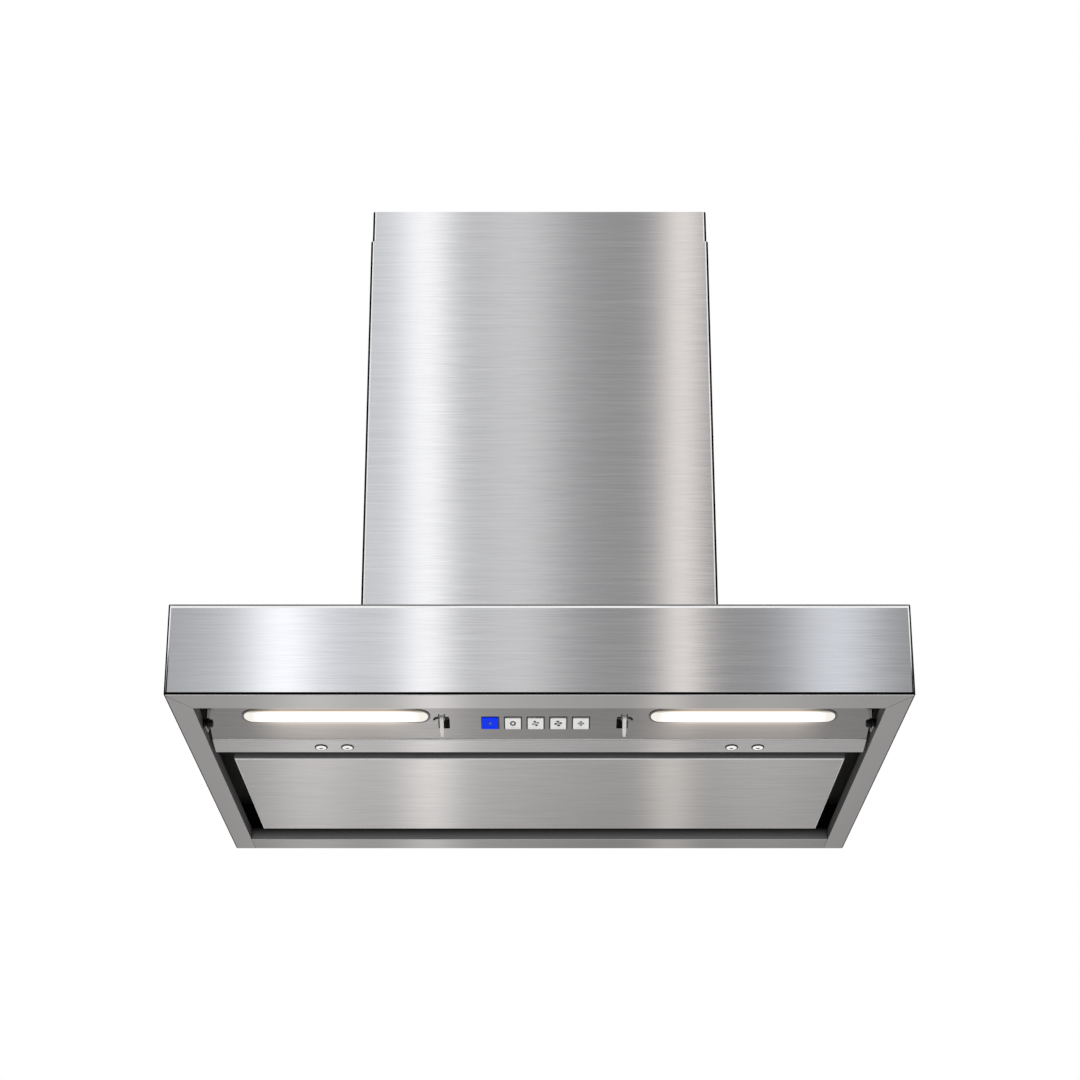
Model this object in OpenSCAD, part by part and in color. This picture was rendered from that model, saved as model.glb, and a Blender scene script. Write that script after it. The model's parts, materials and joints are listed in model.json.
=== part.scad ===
/* [Canopy] */
// Width of the canopy, across the cooktop
hood_w = 600; // [560:10:640]
// Depth of the canopy, out from the wall
hood_d = 500; // [480:10:520]
// Height of the fascia
hood_h = 77; // [74:1:90]
// Thickness of the stainless sheet
sheet = 1; // [0.8:0.1:1.2]
// Outside radius of the two upright front corners
corner_r = 3; // [2:0.5:5]
// Outside radius of the folded edges
fold_r = 1.6; // [1.4:0.1:2]
// Width of the rim strip along the front
front_rim = 36; // [30:1:40]
// Width of the rim strip along each side
side_rim = 19; // [14:1:20]
// Width of the rim strip along the wall
rear_rim = 34.5; // [30:0.5:38]
// Height of the small upward hem on the side rims
hem_h = 11; // [8:1:12]
// Distance between the two columns of wall bolts
wall_bolt_x = 400; // [340:10:440]
// Diameter of the holes for the wall bolts
wall_bolt_d = 8; // [6:0.5:9]

/* [Control plate] */
// Tilt of the plate that carries the lamps and buttons
plate_tilt = 15; // [12:1:16]
// Distance from the fascia to the plate's rear fold
plate_end = 142.5; // [140:0.5:148]
// Height of the plate's rear fold above the rim
plate_z = 6; // [5:0.5:8]
// Distance from a side rim to the plate's edge
plate_inset = 2.5; // [0.5:0.5:5]
// Sideways shift of the buttons
button_shift = -3.3; // [-6:0.1:0]
// Sideways shift of the latches
latch_shift = -5.4; // [-6:0.1:0]
// Clear space between a latch's centre line and the lamp beside it
lamp_gap = 9.5; // [9:0.25:14]
// Clear space between a lamp and the side rim
lamp_inset = 30.75; // [26:0.25:40]
// Height of each lamp
lamp_h = 20; // [18:0.5:22]
// Distance from the plate's rear fold to the lamps' centre line
lamp_s = 36.5; // [35:0.5:40]
// Width of a button
button_w = 13.2; // [11:0.1:14]
// Height of a button along the plate
button_h = 17; // [14:0.5:18]
// Distance between neighbouring buttons
button_pitch = 19.1; // [18.5:0.1:20]
// Distance from the plate's rear fold to the buttons' centre line
button_s = 25.7; // [24:0.1:28]
// How far a button goes in when pressed
button_travel = 1; // [0.6:0.1:1.2]
// Distance from the middle of the latches to a latch
latch_x = 76.8; // [74:0.2:80]

/* [Cross rail] */
// Depth of the rail behind the plate
rail_d = 26.5; // [24:0.5:30]
// Tilt of the rail
rail_tilt = 8; // [6:1:10]
// Distance from the middle to the inner screw
screw_x = 164.5; // [150:0.5:170]
// Distance between the two screws of a pair
screw_gap = 22.5; // [18:0.5:30]

/* [Perimeter panel] */
// Width of the air slot in front of the panel
front_slot = 25.5; // [20:0.5:28]
// Width of the air slots at the panel's sides
side_slot = 14.8; // [12:0.1:20]
// Width of the air slot behind the panel
rear_slot = 30; // [28:1:34]
// Height of the panel's face above the rim
panel_z = 3; // [2:0.5:4]
// Height of the panel's folded edge
panel_h = 12; // [10:0.5:12]
// Distance from the middle to a panel hinge
hinge_x = 205; // [180:5:220]

/* [Filters] */
// Height of the filters above the rim
filter_z = 30; // [29:0.5:32]
// Thickness of a filter
filter_t = 12; // [10:0.5:13]
// Distance from a side rim to the filter beside it
filter_inset = 31; // [30:1:42]
// Number of lower baffles in a filter
baffles = 6; // [4:1:6]

/* [Chimney] */
// Width of the lower chimney
chimney_w = 325; // [318:1:340]
// Depth of the lower chimney
chimney_d = 270; // [264:1:280]
// Height of the lower chimney
chimney_h = 454; // [420:1:500]
// Length of the upper chimney
upper_l = 400; // [360:5:410]
// How much of the upper chimney shows when it is pushed down
upper_show = 33; // [25:1:45]

/* [Blower] */
// Outside diameter of the impeller
impeller_d = 124; // [116:1:126]
// Number of blades
blades = 32; // [24:1:36]
// Outside diameter of the duct collar
duct_d = 149; // [146:1:150]
// Height of the duct collar
duct_l = 45; // [40:1:60]

/* [Hidden] */
$fn = 48;

// Clearances
gap = 0.3;
slide_gap = 0.3;
pin_gap = 0.06;
seat = 0.2;

// Datum planes: the wall is y = 0 and the rim's underside is z = 0
front_y = -hood_d;
rim_x = hood_w / 2 - side_rim;
inner_x = hood_w / 2 - sheet;

// Wall bolts
wall_bolt_zs = [20, 62];

// Plate and rail
fold_y = front_y + plate_end;
front_return_y = front_y + front_rim;
plate_front_y = front_return_y + gap;
plate_len = (fold_y - plate_front_y) / cos(plate_tilt);
plate_top_z = plate_z + (fold_y - plate_front_y) * tan(plate_tilt);
plate_half = rim_x - plate_inset;
plate_flange = 10;
tab_x = plate_half - 0.25;
lamp_in = latch_x - latch_shift + lamp_gap;
lamp_out = rim_x - lamp_inset;
lamp_l = lamp_out - lamp_in;
lamp_x = (lamp_in + lamp_out) / 2;
front_return_h = plate_top_z + plate_flange;
lap = 20;
rail_end_y = fold_y + rail_d;
screw_s = rail_d / 2;
screw_xs = [-screw_x - screw_gap, -screw_x, screw_x, screw_x + screw_gap];
screw_d = 4;
screw_l = 7.5;
cup_r = 5.2;
cup_lip_r = 3.4;
cup_h = 1.6;
cup_seat = 0.7;
head_r = 3.2;
head_rise = 0.45;
slot_w = 0.9;
side_bolt_d = 4;
side_bolt_collar_r = 4.6;
side_bolt_collar_t = 1.2;
side_bolt_head_r = 3.6;
side_bolt_head_h = 4.4;
rail_lip_r = 0.8;
tab_w = 16;
tab_inset = 65;
side_bolt_y = front_return_y + tab_inset;
side_bolt_z = plate_z + sheet;

// Perimeter panel
panel_front_y = rail_end_y + front_slot;
panel_rear_y = -rear_rim - rear_slot;
panel_d = panel_rear_y - panel_front_y;
panel_w = 2 * (rim_x - side_slot);
panel_mid_y = (panel_front_y + panel_rear_y) / 2;
pin_d = 4;
pivot_y = panel_rear_y + 6;
pivot_z = panel_z + panel_h - 2;
ear_t = 2;
ear_gap = 10;
magnet_x = panel_w / 2 - 24;

// Filters and the tray that holds them
filters_w = 2 * (rim_x - filter_inset);
filter_w = filters_w / 2 - 1;
filter_front_y = panel_front_y + 2.5;
filter_rear_y = panel_rear_y - 18.5;
filter_d = filter_rear_y - filter_front_y;
tray_z = filter_z + filter_t + 2;
lip = 8;

// Latches
latch_xs = [latch_shift - latch_x, latch_shift + latch_x];
latch_slot_s = 24.75;
latch_slot_l = 16;
latch_slot_w = 9.6;
latch_slot_in = 1.7;
lever_pin_s = 37.5;
lever_pin_n = -2.6;
lever_pin_d = 2;
lever_pin_l = 12.4;
lever_hub_r = 2.2;
lever_t = 3.2;
latch_ear_t = 1;
lever_y = fold_y - lever_pin_s * cos(plate_tilt) + lever_pin_n * sin(plate_tilt);
lever_z = plate_z + lever_pin_s * sin(plate_tilt) + lever_pin_n * cos(plate_tilt);
lever_arm = filter_z + filter_t / 2 - lever_z;
bolt_w = 8;
bolt_t = 4;
bolt_tip = 5;
bolt_z = filter_z + filter_t / 2;
crank_r = 2;

// Controls
button_xs = [for (i = [-2:2]) button_shift + i * button_pitch];
button_out = 1;
button_lip = 1.2;
housing_h = 8;
board_t = 1.6;

// Chimney
upper_w = chimney_w - 2 * (sheet + slide_gap);
upper_d = chimney_d - 2 * (sheet + slide_gap);
upper_top_z = hood_h + chimney_h + upper_show;
rear_flange = 16;
bracket_t = 1.5;
bracket_h = 26;
bracket_z = upper_top_z - 8 - bracket_h;
bracket_half = upper_w / 2 - sheet - gap;
bracket_arm_x = bracket_half - 20;
bracket_step = 12;
bracket_screw_y = -bracket_step - 12;
bracket_bolt_x = 200;

// Blower
impeller_r = impeller_d / 2;
volute_min = impeller_r + 6;
volute_growth = 30;
volute_max = volute_min + volute_growth;
tongue_a = 60;
inlet_r = impeller_r - 4;
bell_r = 3;
volute_half = 62;
volute_wall = 2;
lugs = [95, 150, 250, 320];
lug_r = 4.5;
axis_y = -172;
axis_z = hood_h + volute_max + 12;
box_half = chimney_w / 2 - 22.5;
box_front_y = -chimney_d + 13;
box_rear_y = -24;
outlet_neck = 33;
box_top_z = axis_z + volute_max + outlet_neck;
neck_y0 = axis_y + volute_min * cos(tongue_a);
neck_y1 = axis_y + volute_max;
duct_y = (neck_y0 + neck_y1) / 2;
duct_wall = 2;
shaft_d = 8;
motor_r = 42;
damper_z = box_top_z + sheet + 18;
spindle_d = 4;
collar_flange_t = 3;
damper_r = duct_d / 2 - duct_wall - 1.2;
impeller_half = volute_half - volute_wall - 5;
hub_x = 18;
motor_back = 48;
motor_front = 10;

// Mains gland
gland_x = box_half - 12;
gland_y = -14;
gland_d = 12;
lead_d = 7.5;

// Colours
steel = "#c3c4c6";
dark_steel = "#8d8e90";
zinc = "#aeb2b6";
black = "#26272a";
white = "#f1efe9";
blue = "#0b3cf2";

// Rectangle from one corner to the other, with its own radius at each corner in turn:
// low left, low right, high right, high left
module panel_outline(x0, y0, x1, y1, radii) {
    corners = [[x0, y0, 1, 1], [x1, y0, -1, 1], [x1, y1, -1, -1], [x0, y1, 1, -1]];
    difference() {
        translate([x0, y0])
            square([x1 - x0, y1 - y0]);
        for (i = [0:3])
            if (radii[i] > 0)
                translate([corners[i][0], corners[i][1]])
                    scale_quadrant(corners[i][2], corners[i][3])
                        corner_waste(radii[i]);
    }
}

// Turns a quarter shape into the quadrant with the given signs
module scale_quadrant(sx, sy) {
    mirror([sx < 0 ? 1 : 0, 0])
        mirror([0, sy < 0 ? 1 : 0])
            children();
}

// What a corner of radius r loses
module corner_waste(r) {
    difference() {
        translate([-1, -1])
            square(r + 1);
        translate([r, r])
            circle(r);
    }
}

// Long hole or lens with round ends, centred
module stadium(l, h) {
    square([l - h, h], center = true);
    for (side = [-1, 1])
        translate([side * (l - h) / 2, 0])
            circle(h / 2);
}

// Rectangle with round corners, centred
module round_rect(w, h, r) {
    panel_outline(-w / 2, -h / 2, w / 2, h / 2, [r, r, r, r]);
}

// A profile drawn as (y, z), run along X from -half to half
module along_x(half) {
    translate([-half, 0, 0])
        rotate([90, 0, 90])
            linear_extrude(2 * half)
                children();
}

// A profile drawn as (x, z), run along Y from y0 to y1
module along_y(y0, y1) {
    translate([0, y1, 0])
        rotate([90, 0, 0])
            linear_extrude(y1 - y0)
                children();
}

// Open tray with folded edges, its face down at z = 0 and its middle at the origin
module folded_tray(w, d, h, r, t) {
    difference() {
        tray_block(w, d, h, r);
        translate([0, 0, t])
            tray_block(w - 2 * t, d - 2 * t, h, r - t);
    }
}

module tray_block(w, d, h, r) {
    intersection() {
        along_x(w / 2)
            panel_outline(-d / 2, 0, d / 2, h, [r, r, 0, 0]);
        along_y(-d / 2, d / 2)
            panel_outline(-w / 2, 0, w / 2, h, [r, r, 0, 0]);
    }
}

// Places children on the control plate: x across, s along it from the rear fold, +Z into the hood
module on_plate(x, s) {
    translate([x, fold_y, plate_z])
        rotate([-plate_tilt, 0, 0])
            translate([0, -s, 0])
                children();
}

// Places children on the underside of the cross rail: s behind its front edge, +Z into the hood
module on_rail(x, s) {
    translate([x, fold_y, plate_z])
        rotate([-rail_tilt, 0, 0])
            translate([0, s, -sheet])
                children();
}

// The canopy's outer form, drawn in by t on every side
module canopy_block(t) {
    half = hood_w / 2 - t;
    r = fold_r - t;
    intersection() {
        translate([0, 0, t])
            linear_extrude(hood_h - 2 * t)
                panel_outline(-half, front_y + t, half, 0, [corner_r - t, corner_r - t, 0, 0]);
        along_x(half)
            panel_outline(front_y + t, t, 0, hood_h - t, [r, 0, 0, r]);
        along_y(front_y + t, 0)
            panel_outline(-half, t, half, hood_h - t, [r, r, r, r]);
    }
}

// Fascia, sides, deck and rim, folded from one sheet
module canopy_shell() {
    hem_x = rim_x + sheet / 2;
    mitre = 0.4;
    color(steel)
    difference() {
        union() {
            difference() {
                canopy_block(0);
                difference() {
                    canopy_block(sheet);
                    translate([-rim_x, front_return_y - sheet, 0])
                        cube([2 * rim_x, sheet, front_return_h]);
                }
                translate([-rim_x, front_return_y, -1])
                    cube([2 * rim_x, hood_d, sheet + 2]);
                translate([-inner_x, -sheet, -1])
                    cube([2 * inner_x, 2 * sheet, hood_h + 2]);
            }
            for (side = [-1, 1])
                translate([side * hem_x - sheet / 2, front_return_y + gap, sheet / 2])
                    cube([sheet, hood_d - front_rim - sheet - gap, hem_h - sheet / 2]);
        }
        translate([-box_half + 12, box_front_y + 12, hood_h - 2 * sheet])
            cube([2 * box_half - 24, box_rear_y - box_front_y - 24, 3 * sheet]);
        for (side = [-1, 1]) {
            translate([side * rim_x, front_return_y, -1])
                rotate([0, 0, -90 + side * atan(side_rim / front_rim)])
                    translate([-sheet, -mitre / 2, 0])
                        cube([norm([side_rim, front_rim]) - corner_r, mitre, sheet + 1]);
            translate([side * rim_x, side_bolt_y, side_bolt_z])
                rotate([0, 90, 0])
                    cylinder(d = side_bolt_d + 2 * pin_gap, h = 6 * sheet, center = true);
        }
        translate([gland_x, gland_y, hood_h - 2 * sheet])
            cylinder(d = gland_d + 2 * pin_gap, h = 3 * sheet);
    }
}

// Rear wall of the canopy with the rear rim folded under it
module canopy_back() {
    half = inner_x - gap;
    color(steel)
    difference() {
        union() {
            translate([-half, -sheet, 0])
                cube([2 * half, sheet, hood_h - sheet - gap]);
            along_x(rim_x - gap)
                panel_outline(-rear_rim, 0, 0, sheet, [sheet / 2, 0, 0, 0]);
            translate([-rim_x + gap, -rear_rim, sheet / 2])
                cube([2 * (rim_x - gap), sheet, hem_h]);
            translate([-half, -sheet - 9, hood_h - 2 * sheet - gap])
                cube([2 * half, 9.5, sheet]);
        }
        for (x = [-wall_bolt_x / 2, wall_bolt_x / 2], z = wall_bolt_zs)
            translate([x, sheet, z])
                rotate([90, 0, 0])
                    cylinder(d = wall_bolt_d, h = 3 * sheet);
        translate([-box_half, -20, hood_h - 3 * sheet])
            cube([2 * box_half, 19 - sheet + 0.5, 3 * sheet]);
    }
}

// Sheet between the air channel and the filters' clean side, with lips that carry the filters
module plenum_tray() {
    half = inner_x - gap;
    open_half = filters_w / 2 + gap;
    rear = filter_rear_y + gap;
    front = filter_front_y - gap;
    drop = tray_z - filter_z + gap + sheet;
    color(dark_steel)
    union() {
        difference() {
            translate([-half, rail_end_y - sheet, tray_z])
                cube([2 * half, -rail_end_y - gap, sheet]);
            translate([-open_half, front, tray_z - 1])
                cube([2 * open_half, rear - front, sheet + 2]);
        }
        for (side = [-1, 1]) {
            translate([side * (open_half + sheet / 2) - sheet / 2, front, tray_z + sheet / 2 - drop])
                cube([sheet, rear - front + sheet, drop]);
            translate([side * (open_half + sheet / 2 - lip / 2) - lip / 2 - sheet / 2, front,
                       filter_z - gap - sheet])
                cube([lip + sheet, rear - front + sheet, sheet]);
        }
        translate([-open_half, rear, tray_z + sheet / 2 - drop])
            cube([2 * open_half, sheet, drop]);
        translate([-open_half, rear - lip, filter_z - gap - sheet])
            cube([2 * open_half, lip + sheet, sheet]);
        for (side = [-1, 1])
            translate([side * half - (side > 0 ? sheet : 0), rail_end_y - sheet, tray_z])
                cube([sheet, -rail_end_y - gap, 12]);
    }
}

// Plate with the cut-outs for lamps, buttons and latches
module control_plate() {
    tab_top = plate_z + (fold_y - side_bolt_y) * tan(plate_tilt) + sheet / 2;
    color(dark_steel)
    difference() {
        union() {
            translate([0, fold_y, plate_z])
                rotate([-plate_tilt, 0, 0])
                    translate([-plate_half, -plate_len, 0])
                        cube([2 * plate_half, plate_len, sheet]);
            translate([-tab_x, plate_front_y, plate_top_z])
                cube([2 * tab_x, sheet, plate_flange]);
            translate([0, fold_y, plate_z])
                rotate([-rail_tilt, 0, 0])
                    translate([-plate_half + 1, -0.1, 0])
                        cube([2 * plate_half - 2, lap, sheet]);
            for (side = [-1, 1])
                translate([side * (tab_x - sheet / 2) - sheet / 2, side_bolt_y - tab_w / 2, sheet + 1])
                    cube([sheet, tab_w, tab_top - sheet - 1]);
        }
        for (side = [-1, 1]) {
            on_plate(side * lamp_x, lamp_s)
                translate([0, 0, -1])
                    linear_extrude(sheet + 2)
                        stadium(lamp_l - 2.4, lamp_h - 2.4);
            translate([side * plate_half, side_bolt_y, side_bolt_z])
                rotate([0, 90, 0])
                    cylinder(d = side_bolt_d + 2 * pin_gap, h = 4 * sheet, center = true);
        }
        for (x = button_xs)
            on_plate(x, button_s)
                translate([0, 0, -1])
                    linear_extrude(sheet + 2)
                        round_rect(button_w + 2 * gap, button_h + 2 * gap, 1);
        for (x = latch_xs)
            on_plate(x - sign(x) * latch_slot_in, latch_slot_s)
                translate([0, 0, -1])
                    linear_extrude(sheet + 2)
                        round_rect(latch_slot_w, latch_slot_l, 0.8);
        for (x = screw_xs)
            on_rail(x, screw_s)
                translate([0, 0, -1])
                    cylinder(d = screw_d + 2 * gap, h = 4 * sheet);
    }
}

// Section of the cross rail as (y, z): the tilted strip, its bend and the upstand
module rail_section() {
    normal = [sin(rail_tilt), cos(rail_tilt)];
    along = [cos(rail_tilt), -sin(rail_tilt)];
    low = [fold_y, plate_z] - sheet * normal;
    run = (rail_end_y - fold_r - low[0] - fold_r * normal[0]) / along[0];
    bend = low + run * along + fold_r * normal;
    reach = 3 * fold_r;
    translate(low)
        rotate(-rail_tilt)
            panel_outline(0, 0, run, sheet, [rail_lip_r, 0, 0, 0]);
    intersection() {
        translate(bend)
            difference() {
                circle(fold_r);
                circle(fold_r - sheet);
            }
        polygon([bend, bend - reach * normal, bend + [reach, -reach], bend + [reach, 0]]);
    }
    translate([rail_end_y - sheet, bend[1]])
        square([sheet, tray_z - bend[1] - 0.02]);
}

// Folded rail that laps under the plate and stands up to the tray
module cross_rail() {
    color(steel)
    difference() {
        along_x(plate_half)
            rail_section();
        for (x = latch_xs)
            translate([x - bolt_w / 2 - gap, rail_end_y - sheet - 1, bolt_z - bolt_t / 2 - gap])
                cube([bolt_w + 2 * gap, sheet + 2, bolt_t + 2 * gap]);
        for (x = screw_xs)
            on_rail(x, screw_s)
                translate([0, 0, -1])
                    cylinder(d = screw_d + 2 * pin_gap, h = 4 * sheet);
    }
}

// Cup washers under the rail's screws
module rail_washers() {
    bore_r = screw_d / 2 + pin_gap;
    color(white)
    for (x = screw_xs)
        on_rail(x, screw_s)
            mirror([0, 0, 1])
                rotate_extrude()
                    polygon([[bore_r, 0], [cup_r, 0], [cup_r, cup_h / 3], [cup_r - 0.8, cup_h],
                             [cup_lip_r, cup_h], [bore_r, cup_seat]]);
}

// Slotted screws with a raised countersunk head that sits in the cup
module rail_screws() {
    neck_r = screw_d / 2;
    base = cup_seat + pin_gap / 2;
    edge = base + (head_r - neck_r) * (cup_h - cup_seat) / (cup_lip_r - neck_r);
    dome_r = (head_r * head_r + head_rise * head_rise) / (2 * head_rise);
    color(zinc)
    for (x = screw_xs)
        on_rail(x, screw_s)
            difference() {
                union() {
                    translate([0, 0, -base - 0.01])
                        cylinder(r = neck_r, h = screw_l);
                    mirror([0, 0, 1])
                        rotate_extrude()
                            polygon([[0, base], [neck_r, base], [head_r, edge], [0, edge]]);
                    mirror([0, 0, 1])
                        rotate_extrude()
                            intersection() {
                                translate([0, edge + head_rise - dome_r])
                                    circle(dome_r);
                                translate([0, edge - 0.01])
                                    square([head_r, 1]);
                            }
                }
                translate([-head_r - 1, -slot_w / 2, -edge - 1.2])
                    cube([2 * head_r + 2, slot_w, 1.4]);
            }
}

// Nuts inside, on the plate's lap
module rail_nuts() {
    color(zinc)
    for (x = screw_xs)
        on_rail(x, screw_s)
            translate([0, 0, 2 * sheet])
                difference() {
                    cylinder(d = 8.1, h = 3.2, $fn = 6);
                    translate([0, 0, -1])
                        cylinder(d = screw_d + 2 * pin_gap, h = 6);
                }
}

// Domed bolts that hold the plate's tabs to the side rims, with a spacer between tab and rim
module side_bolts() {
    spacer_l = rim_x - tab_x - 0.04;
    bolt_l = spacer_l + 4 * sheet;
    color(black)
    for (side = [-1, 1])
        translate([side * (tab_x - sheet), side_bolt_y, side_bolt_z])
            rotate([0, -side * 90, 0])
                union() {
                    translate([0, 0, -bolt_l])
                        cylinder(d = side_bolt_d, h = bolt_l + 0.2);
                    translate([0, 0, -sheet - 0.02 - spacer_l])
                        cylinder(r = side_bolt_head_r, h = spacer_l);
                    cylinder(r = side_bolt_collar_r, h = side_bolt_collar_t);
                    rotate_extrude()
                        panel_outline(0, side_bolt_collar_t - 0.1, side_bolt_head_r, side_bolt_head_h,
                                      [0, 0, 2, 0]);
                }
}

// Thin frame round a lamp
module lamp_bezel(side) {
    color(dark_steel)
    on_plate(side * lamp_x, lamp_s)
        difference() {
            union() {
                translate([0, 0, -0.7])
                    linear_extrude(0.7)
                        stadium(lamp_l, lamp_h);
                linear_extrude(sheet + 1)
                    stadium(lamp_l - 2.4 - 2 * 0.1, lamp_h - 2.4 - 2 * 0.1);
            }
            translate([0, 0, -1])
                linear_extrude(sheet + 3)
                    stadium(lamp_l - 3.6, lamp_h - 3.6);
        }
}

module lamp_bezel_left() {
    lamp_bezel(-1);
}

module lamp_bezel_right() {
    lamp_bezel(1);
}

// Frosted lens with a shoulder behind the bezel
module lamp_lens(side) {
    color(white)
    on_plate(side * lamp_x, lamp_s)
        union() {
            translate([0, 0, -0.9])
                linear_extrude(sheet + 1.9 + gap)
                    stadium(lamp_l - 3.6 - gap, lamp_h - 3.6 - gap);
            translate([0, 0, sheet + 1 + gap])
                linear_extrude(1.5)
                    stadium(lamp_l, lamp_h);
        }
}

module lamp_lens_left() {
    lamp_lens(-1);
}

module lamp_lens_right() {
    lamp_lens(1);
}

// Moulded housing over the back of a lamp, open towards the lens
module lamp_housing(side) {
    floor_n = sheet + 0.05;
    color(white)
    on_plate(side * lamp_x, lamp_s)
        difference() {
            translate([0, 0, floor_n])
                linear_extrude(12)
                    round_rect(lamp_l + 6, lamp_h + 6, 5);
            translate([0, 0, floor_n - 1])
                linear_extrude(11)
                    round_rect(lamp_l + 1, lamp_h + 1, 4);
            translate([side * lamp_l / 3, 0, floor_n + 5])
                cylinder(d = 6, h = 10);
        }
}

module lamp_housing_left() {
    lamp_housing(-1);
}

module lamp_housing_right() {
    lamp_housing(1);
}

// Strip of light-emitting diodes inside a lamp
module led_board(side) {
    led_n = sheet + 8.2;
    color(white)
    on_plate(side * lamp_x, lamp_s)
        union() {
            translate([-lamp_l / 2 + 6, -6, led_n])
                cube([lamp_l - 12, 12, 1.6]);
            for (i = [-5:5])
                translate([i * (lamp_l - 22) / 10 - 1.75, -1.4, led_n - 0.8])
                    cube([3.5, 2.8, 0.9]);
        }
}

module led_board_left() {
    led_board(-1);
}

module led_board_right() {
    led_board(1);
}

// Housing that guides the five buttons behind the plate
module button_housing() {
    w = 5 * button_pitch + 6;
    h = button_h + 12;
    color(black)
    difference() {
        on_plate(button_xs[2], button_s)
            translate([0, 0, sheet + 0.05])
                linear_extrude(housing_h)
                    round_rect(w, h, 2);
        for (x = button_xs)
            on_plate(x, button_s)
                translate([0, 0, sheet - 1])
                    linear_extrude(housing_h + 2)
                        round_rect(button_w + 2 * button_lip + 2 * gap,
                                   button_h + 2 * button_lip + 2 * gap, 1);
    }
}

// Circuit board with one switch behind each button
module switch_board() {
    board_n = sheet + housing_h + 0.1;
    color("#1d5b36")
    union() {
        on_plate(button_xs[2], button_s)
            translate([0, 0, board_n])
                linear_extrude(board_t)
                    round_rect(5 * button_pitch + 4, button_h + 10, 1);
        for (x = button_xs)
            on_plate(x, button_s)
                translate([-3, -3, board_n - 1.9])
                    cube([6, 6, 2]);
    }
}

// Push button with a retaining lip and a stem towards its switch
module push_button(i, tint) {
    stem_end = sheet + housing_h - 1.8 - button_travel - gap;
    dish_r = 39;
    dish_depth = 0.4;
    dish_end = 1.5;
    color(tint)
    on_plate(button_xs[i], button_s)
        difference() {
            union() {
                translate([0, 0, -button_out])
                    linear_extrude(button_out + sheet + gap + 0.5)
                        round_rect(button_w, button_h, 0.9);
                translate([0, 0, sheet + gap])
                    linear_extrude(1.6)
                        round_rect(button_w + 2 * button_lip, button_h + 2 * button_lip, 0.9);
                translate([0, 0, sheet])
                    cylinder(d = 4, h = stem_end - sheet);
            }
            translate([0, 0, -button_out - dish_r + dish_depth])
                rotate([90, 0, 0])
                    cylinder(r = dish_r, h = button_h - 2 * dish_end, center = true, $fn = 360);
        }
}

module button_power() {
    push_button(0, blue);
}

module button_light() {
    push_button(1, white);
}

module button_speed_low() {
    push_button(2, white);
}

module button_speed_mid() {
    push_button(3, white);
}

module button_speed_high() {
    push_button(4, white);
}

// Ears under the plate that hold a latch's pin
module latch_bracket(x) {
    ear_x = lever_t / 2 + gap + latch_ear_t / 2;
    color(dark_steel)
    on_plate(x, lever_pin_s)
        difference() {
            for (side = [-1, 1])
                translate([side * ear_x - latch_ear_t / 2, 0, lever_pin_n])
                    union() {
                        rotate([0, 90, 0])
                            cylinder(r = lever_hub_r, h = latch_ear_t);
                        translate([0, -lever_hub_r, 0])
                            cube([latch_ear_t, 2 * lever_hub_r, -lever_pin_n - 0.02]);
                    }
            translate([-lever_pin_l, 0, lever_pin_n])
                rotate([0, 90, 0])
                    cylinder(d = lever_pin_d + 2 * pin_gap, h = 2 * lever_pin_l);
        }
}

module latch_bracket_left() {
    latch_bracket(latch_xs[0]);
}

module latch_bracket_right() {
    latch_bracket(latch_xs[1]);
}

// Black wire pin with its outer end bent over
module latch_pin(x) {
    bend_r = lever_pin_d;
    color(black)
    translate([x, lever_y, lever_z])
        mirror([x < 0 ? 1 : 0, 0, 0])
            union() {
                translate([-lever_pin_l / 2, 0, 0])
                    rotate([0, 90, 0])
                        cylinder(d = lever_pin_d, h = lever_pin_l - bend_r);
                translate([lever_pin_l / 2 - bend_r - 0.01, 0, -bend_r])
                    rotate([90, 0, 0])
                        rotate_extrude(angle = 90)
                            translate([bend_r, 0])
                                circle(d = lever_pin_d);
            }
}

module latch_pin_left() {
    latch_pin(latch_xs[0]);
}

module latch_pin_right() {
    latch_pin(latch_xs[1]);
}

// Bell-crank lever: a tapered finger blade below the plate and an arm that drives the bolt
module latch_lever(x) {
    tip = [17.5, -9.6];
    tip_r = 1.5;
    tip_half = 0.9;
    taper_y = 11.5;
    top_w = 2.6;
    color("#b9babc")
    translate([x, lever_y, lever_z])
        intersection() {
            translate([-lever_t / 2, 0, 0])
                rotate([90, 0, 90])
                    linear_extrude(lever_t)
                        difference() {
                            union() {
                                circle(lever_hub_r);
                                polygon([[-1, -2], tip - [1.2, 0.9], tip + [0.8, 1.2], [10.2, 0],
                                         [6.5, 0.5], [5.2, -0.5], [0, lever_hub_r]]);
                                translate(tip)
                                    circle(tip_r);
                                polygon([[6.5, 0.5], [10.2, 0], [10, 4], [top_w / 2 + 1, lever_arm - 4],
                                         [top_w / 2, lever_arm], [-top_w / 2, lever_arm],
                                         [-top_w / 2, lever_arm - 4], [6.9, 3]]);
                                translate([0, lever_arm])
                                    circle(crank_r);
                            }
                            circle(d = lever_pin_d + 2 * pin_gap);
                        }
            translate([0, 0, -20])
                linear_extrude(60)
                    polygon([[-lever_t, -10], [lever_t, -10], [lever_t / 2, taper_y],
                             [tip_half, tip[0] + tip_r], [-tip_half, tip[0] + tip_r],
                             [-lever_t / 2, taper_y]]);
        }
}

module latch_lever_left() {
    latch_lever(latch_xs[0]);
}

module latch_lever_right() {
    latch_lever(latch_xs[1]);
}

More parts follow.
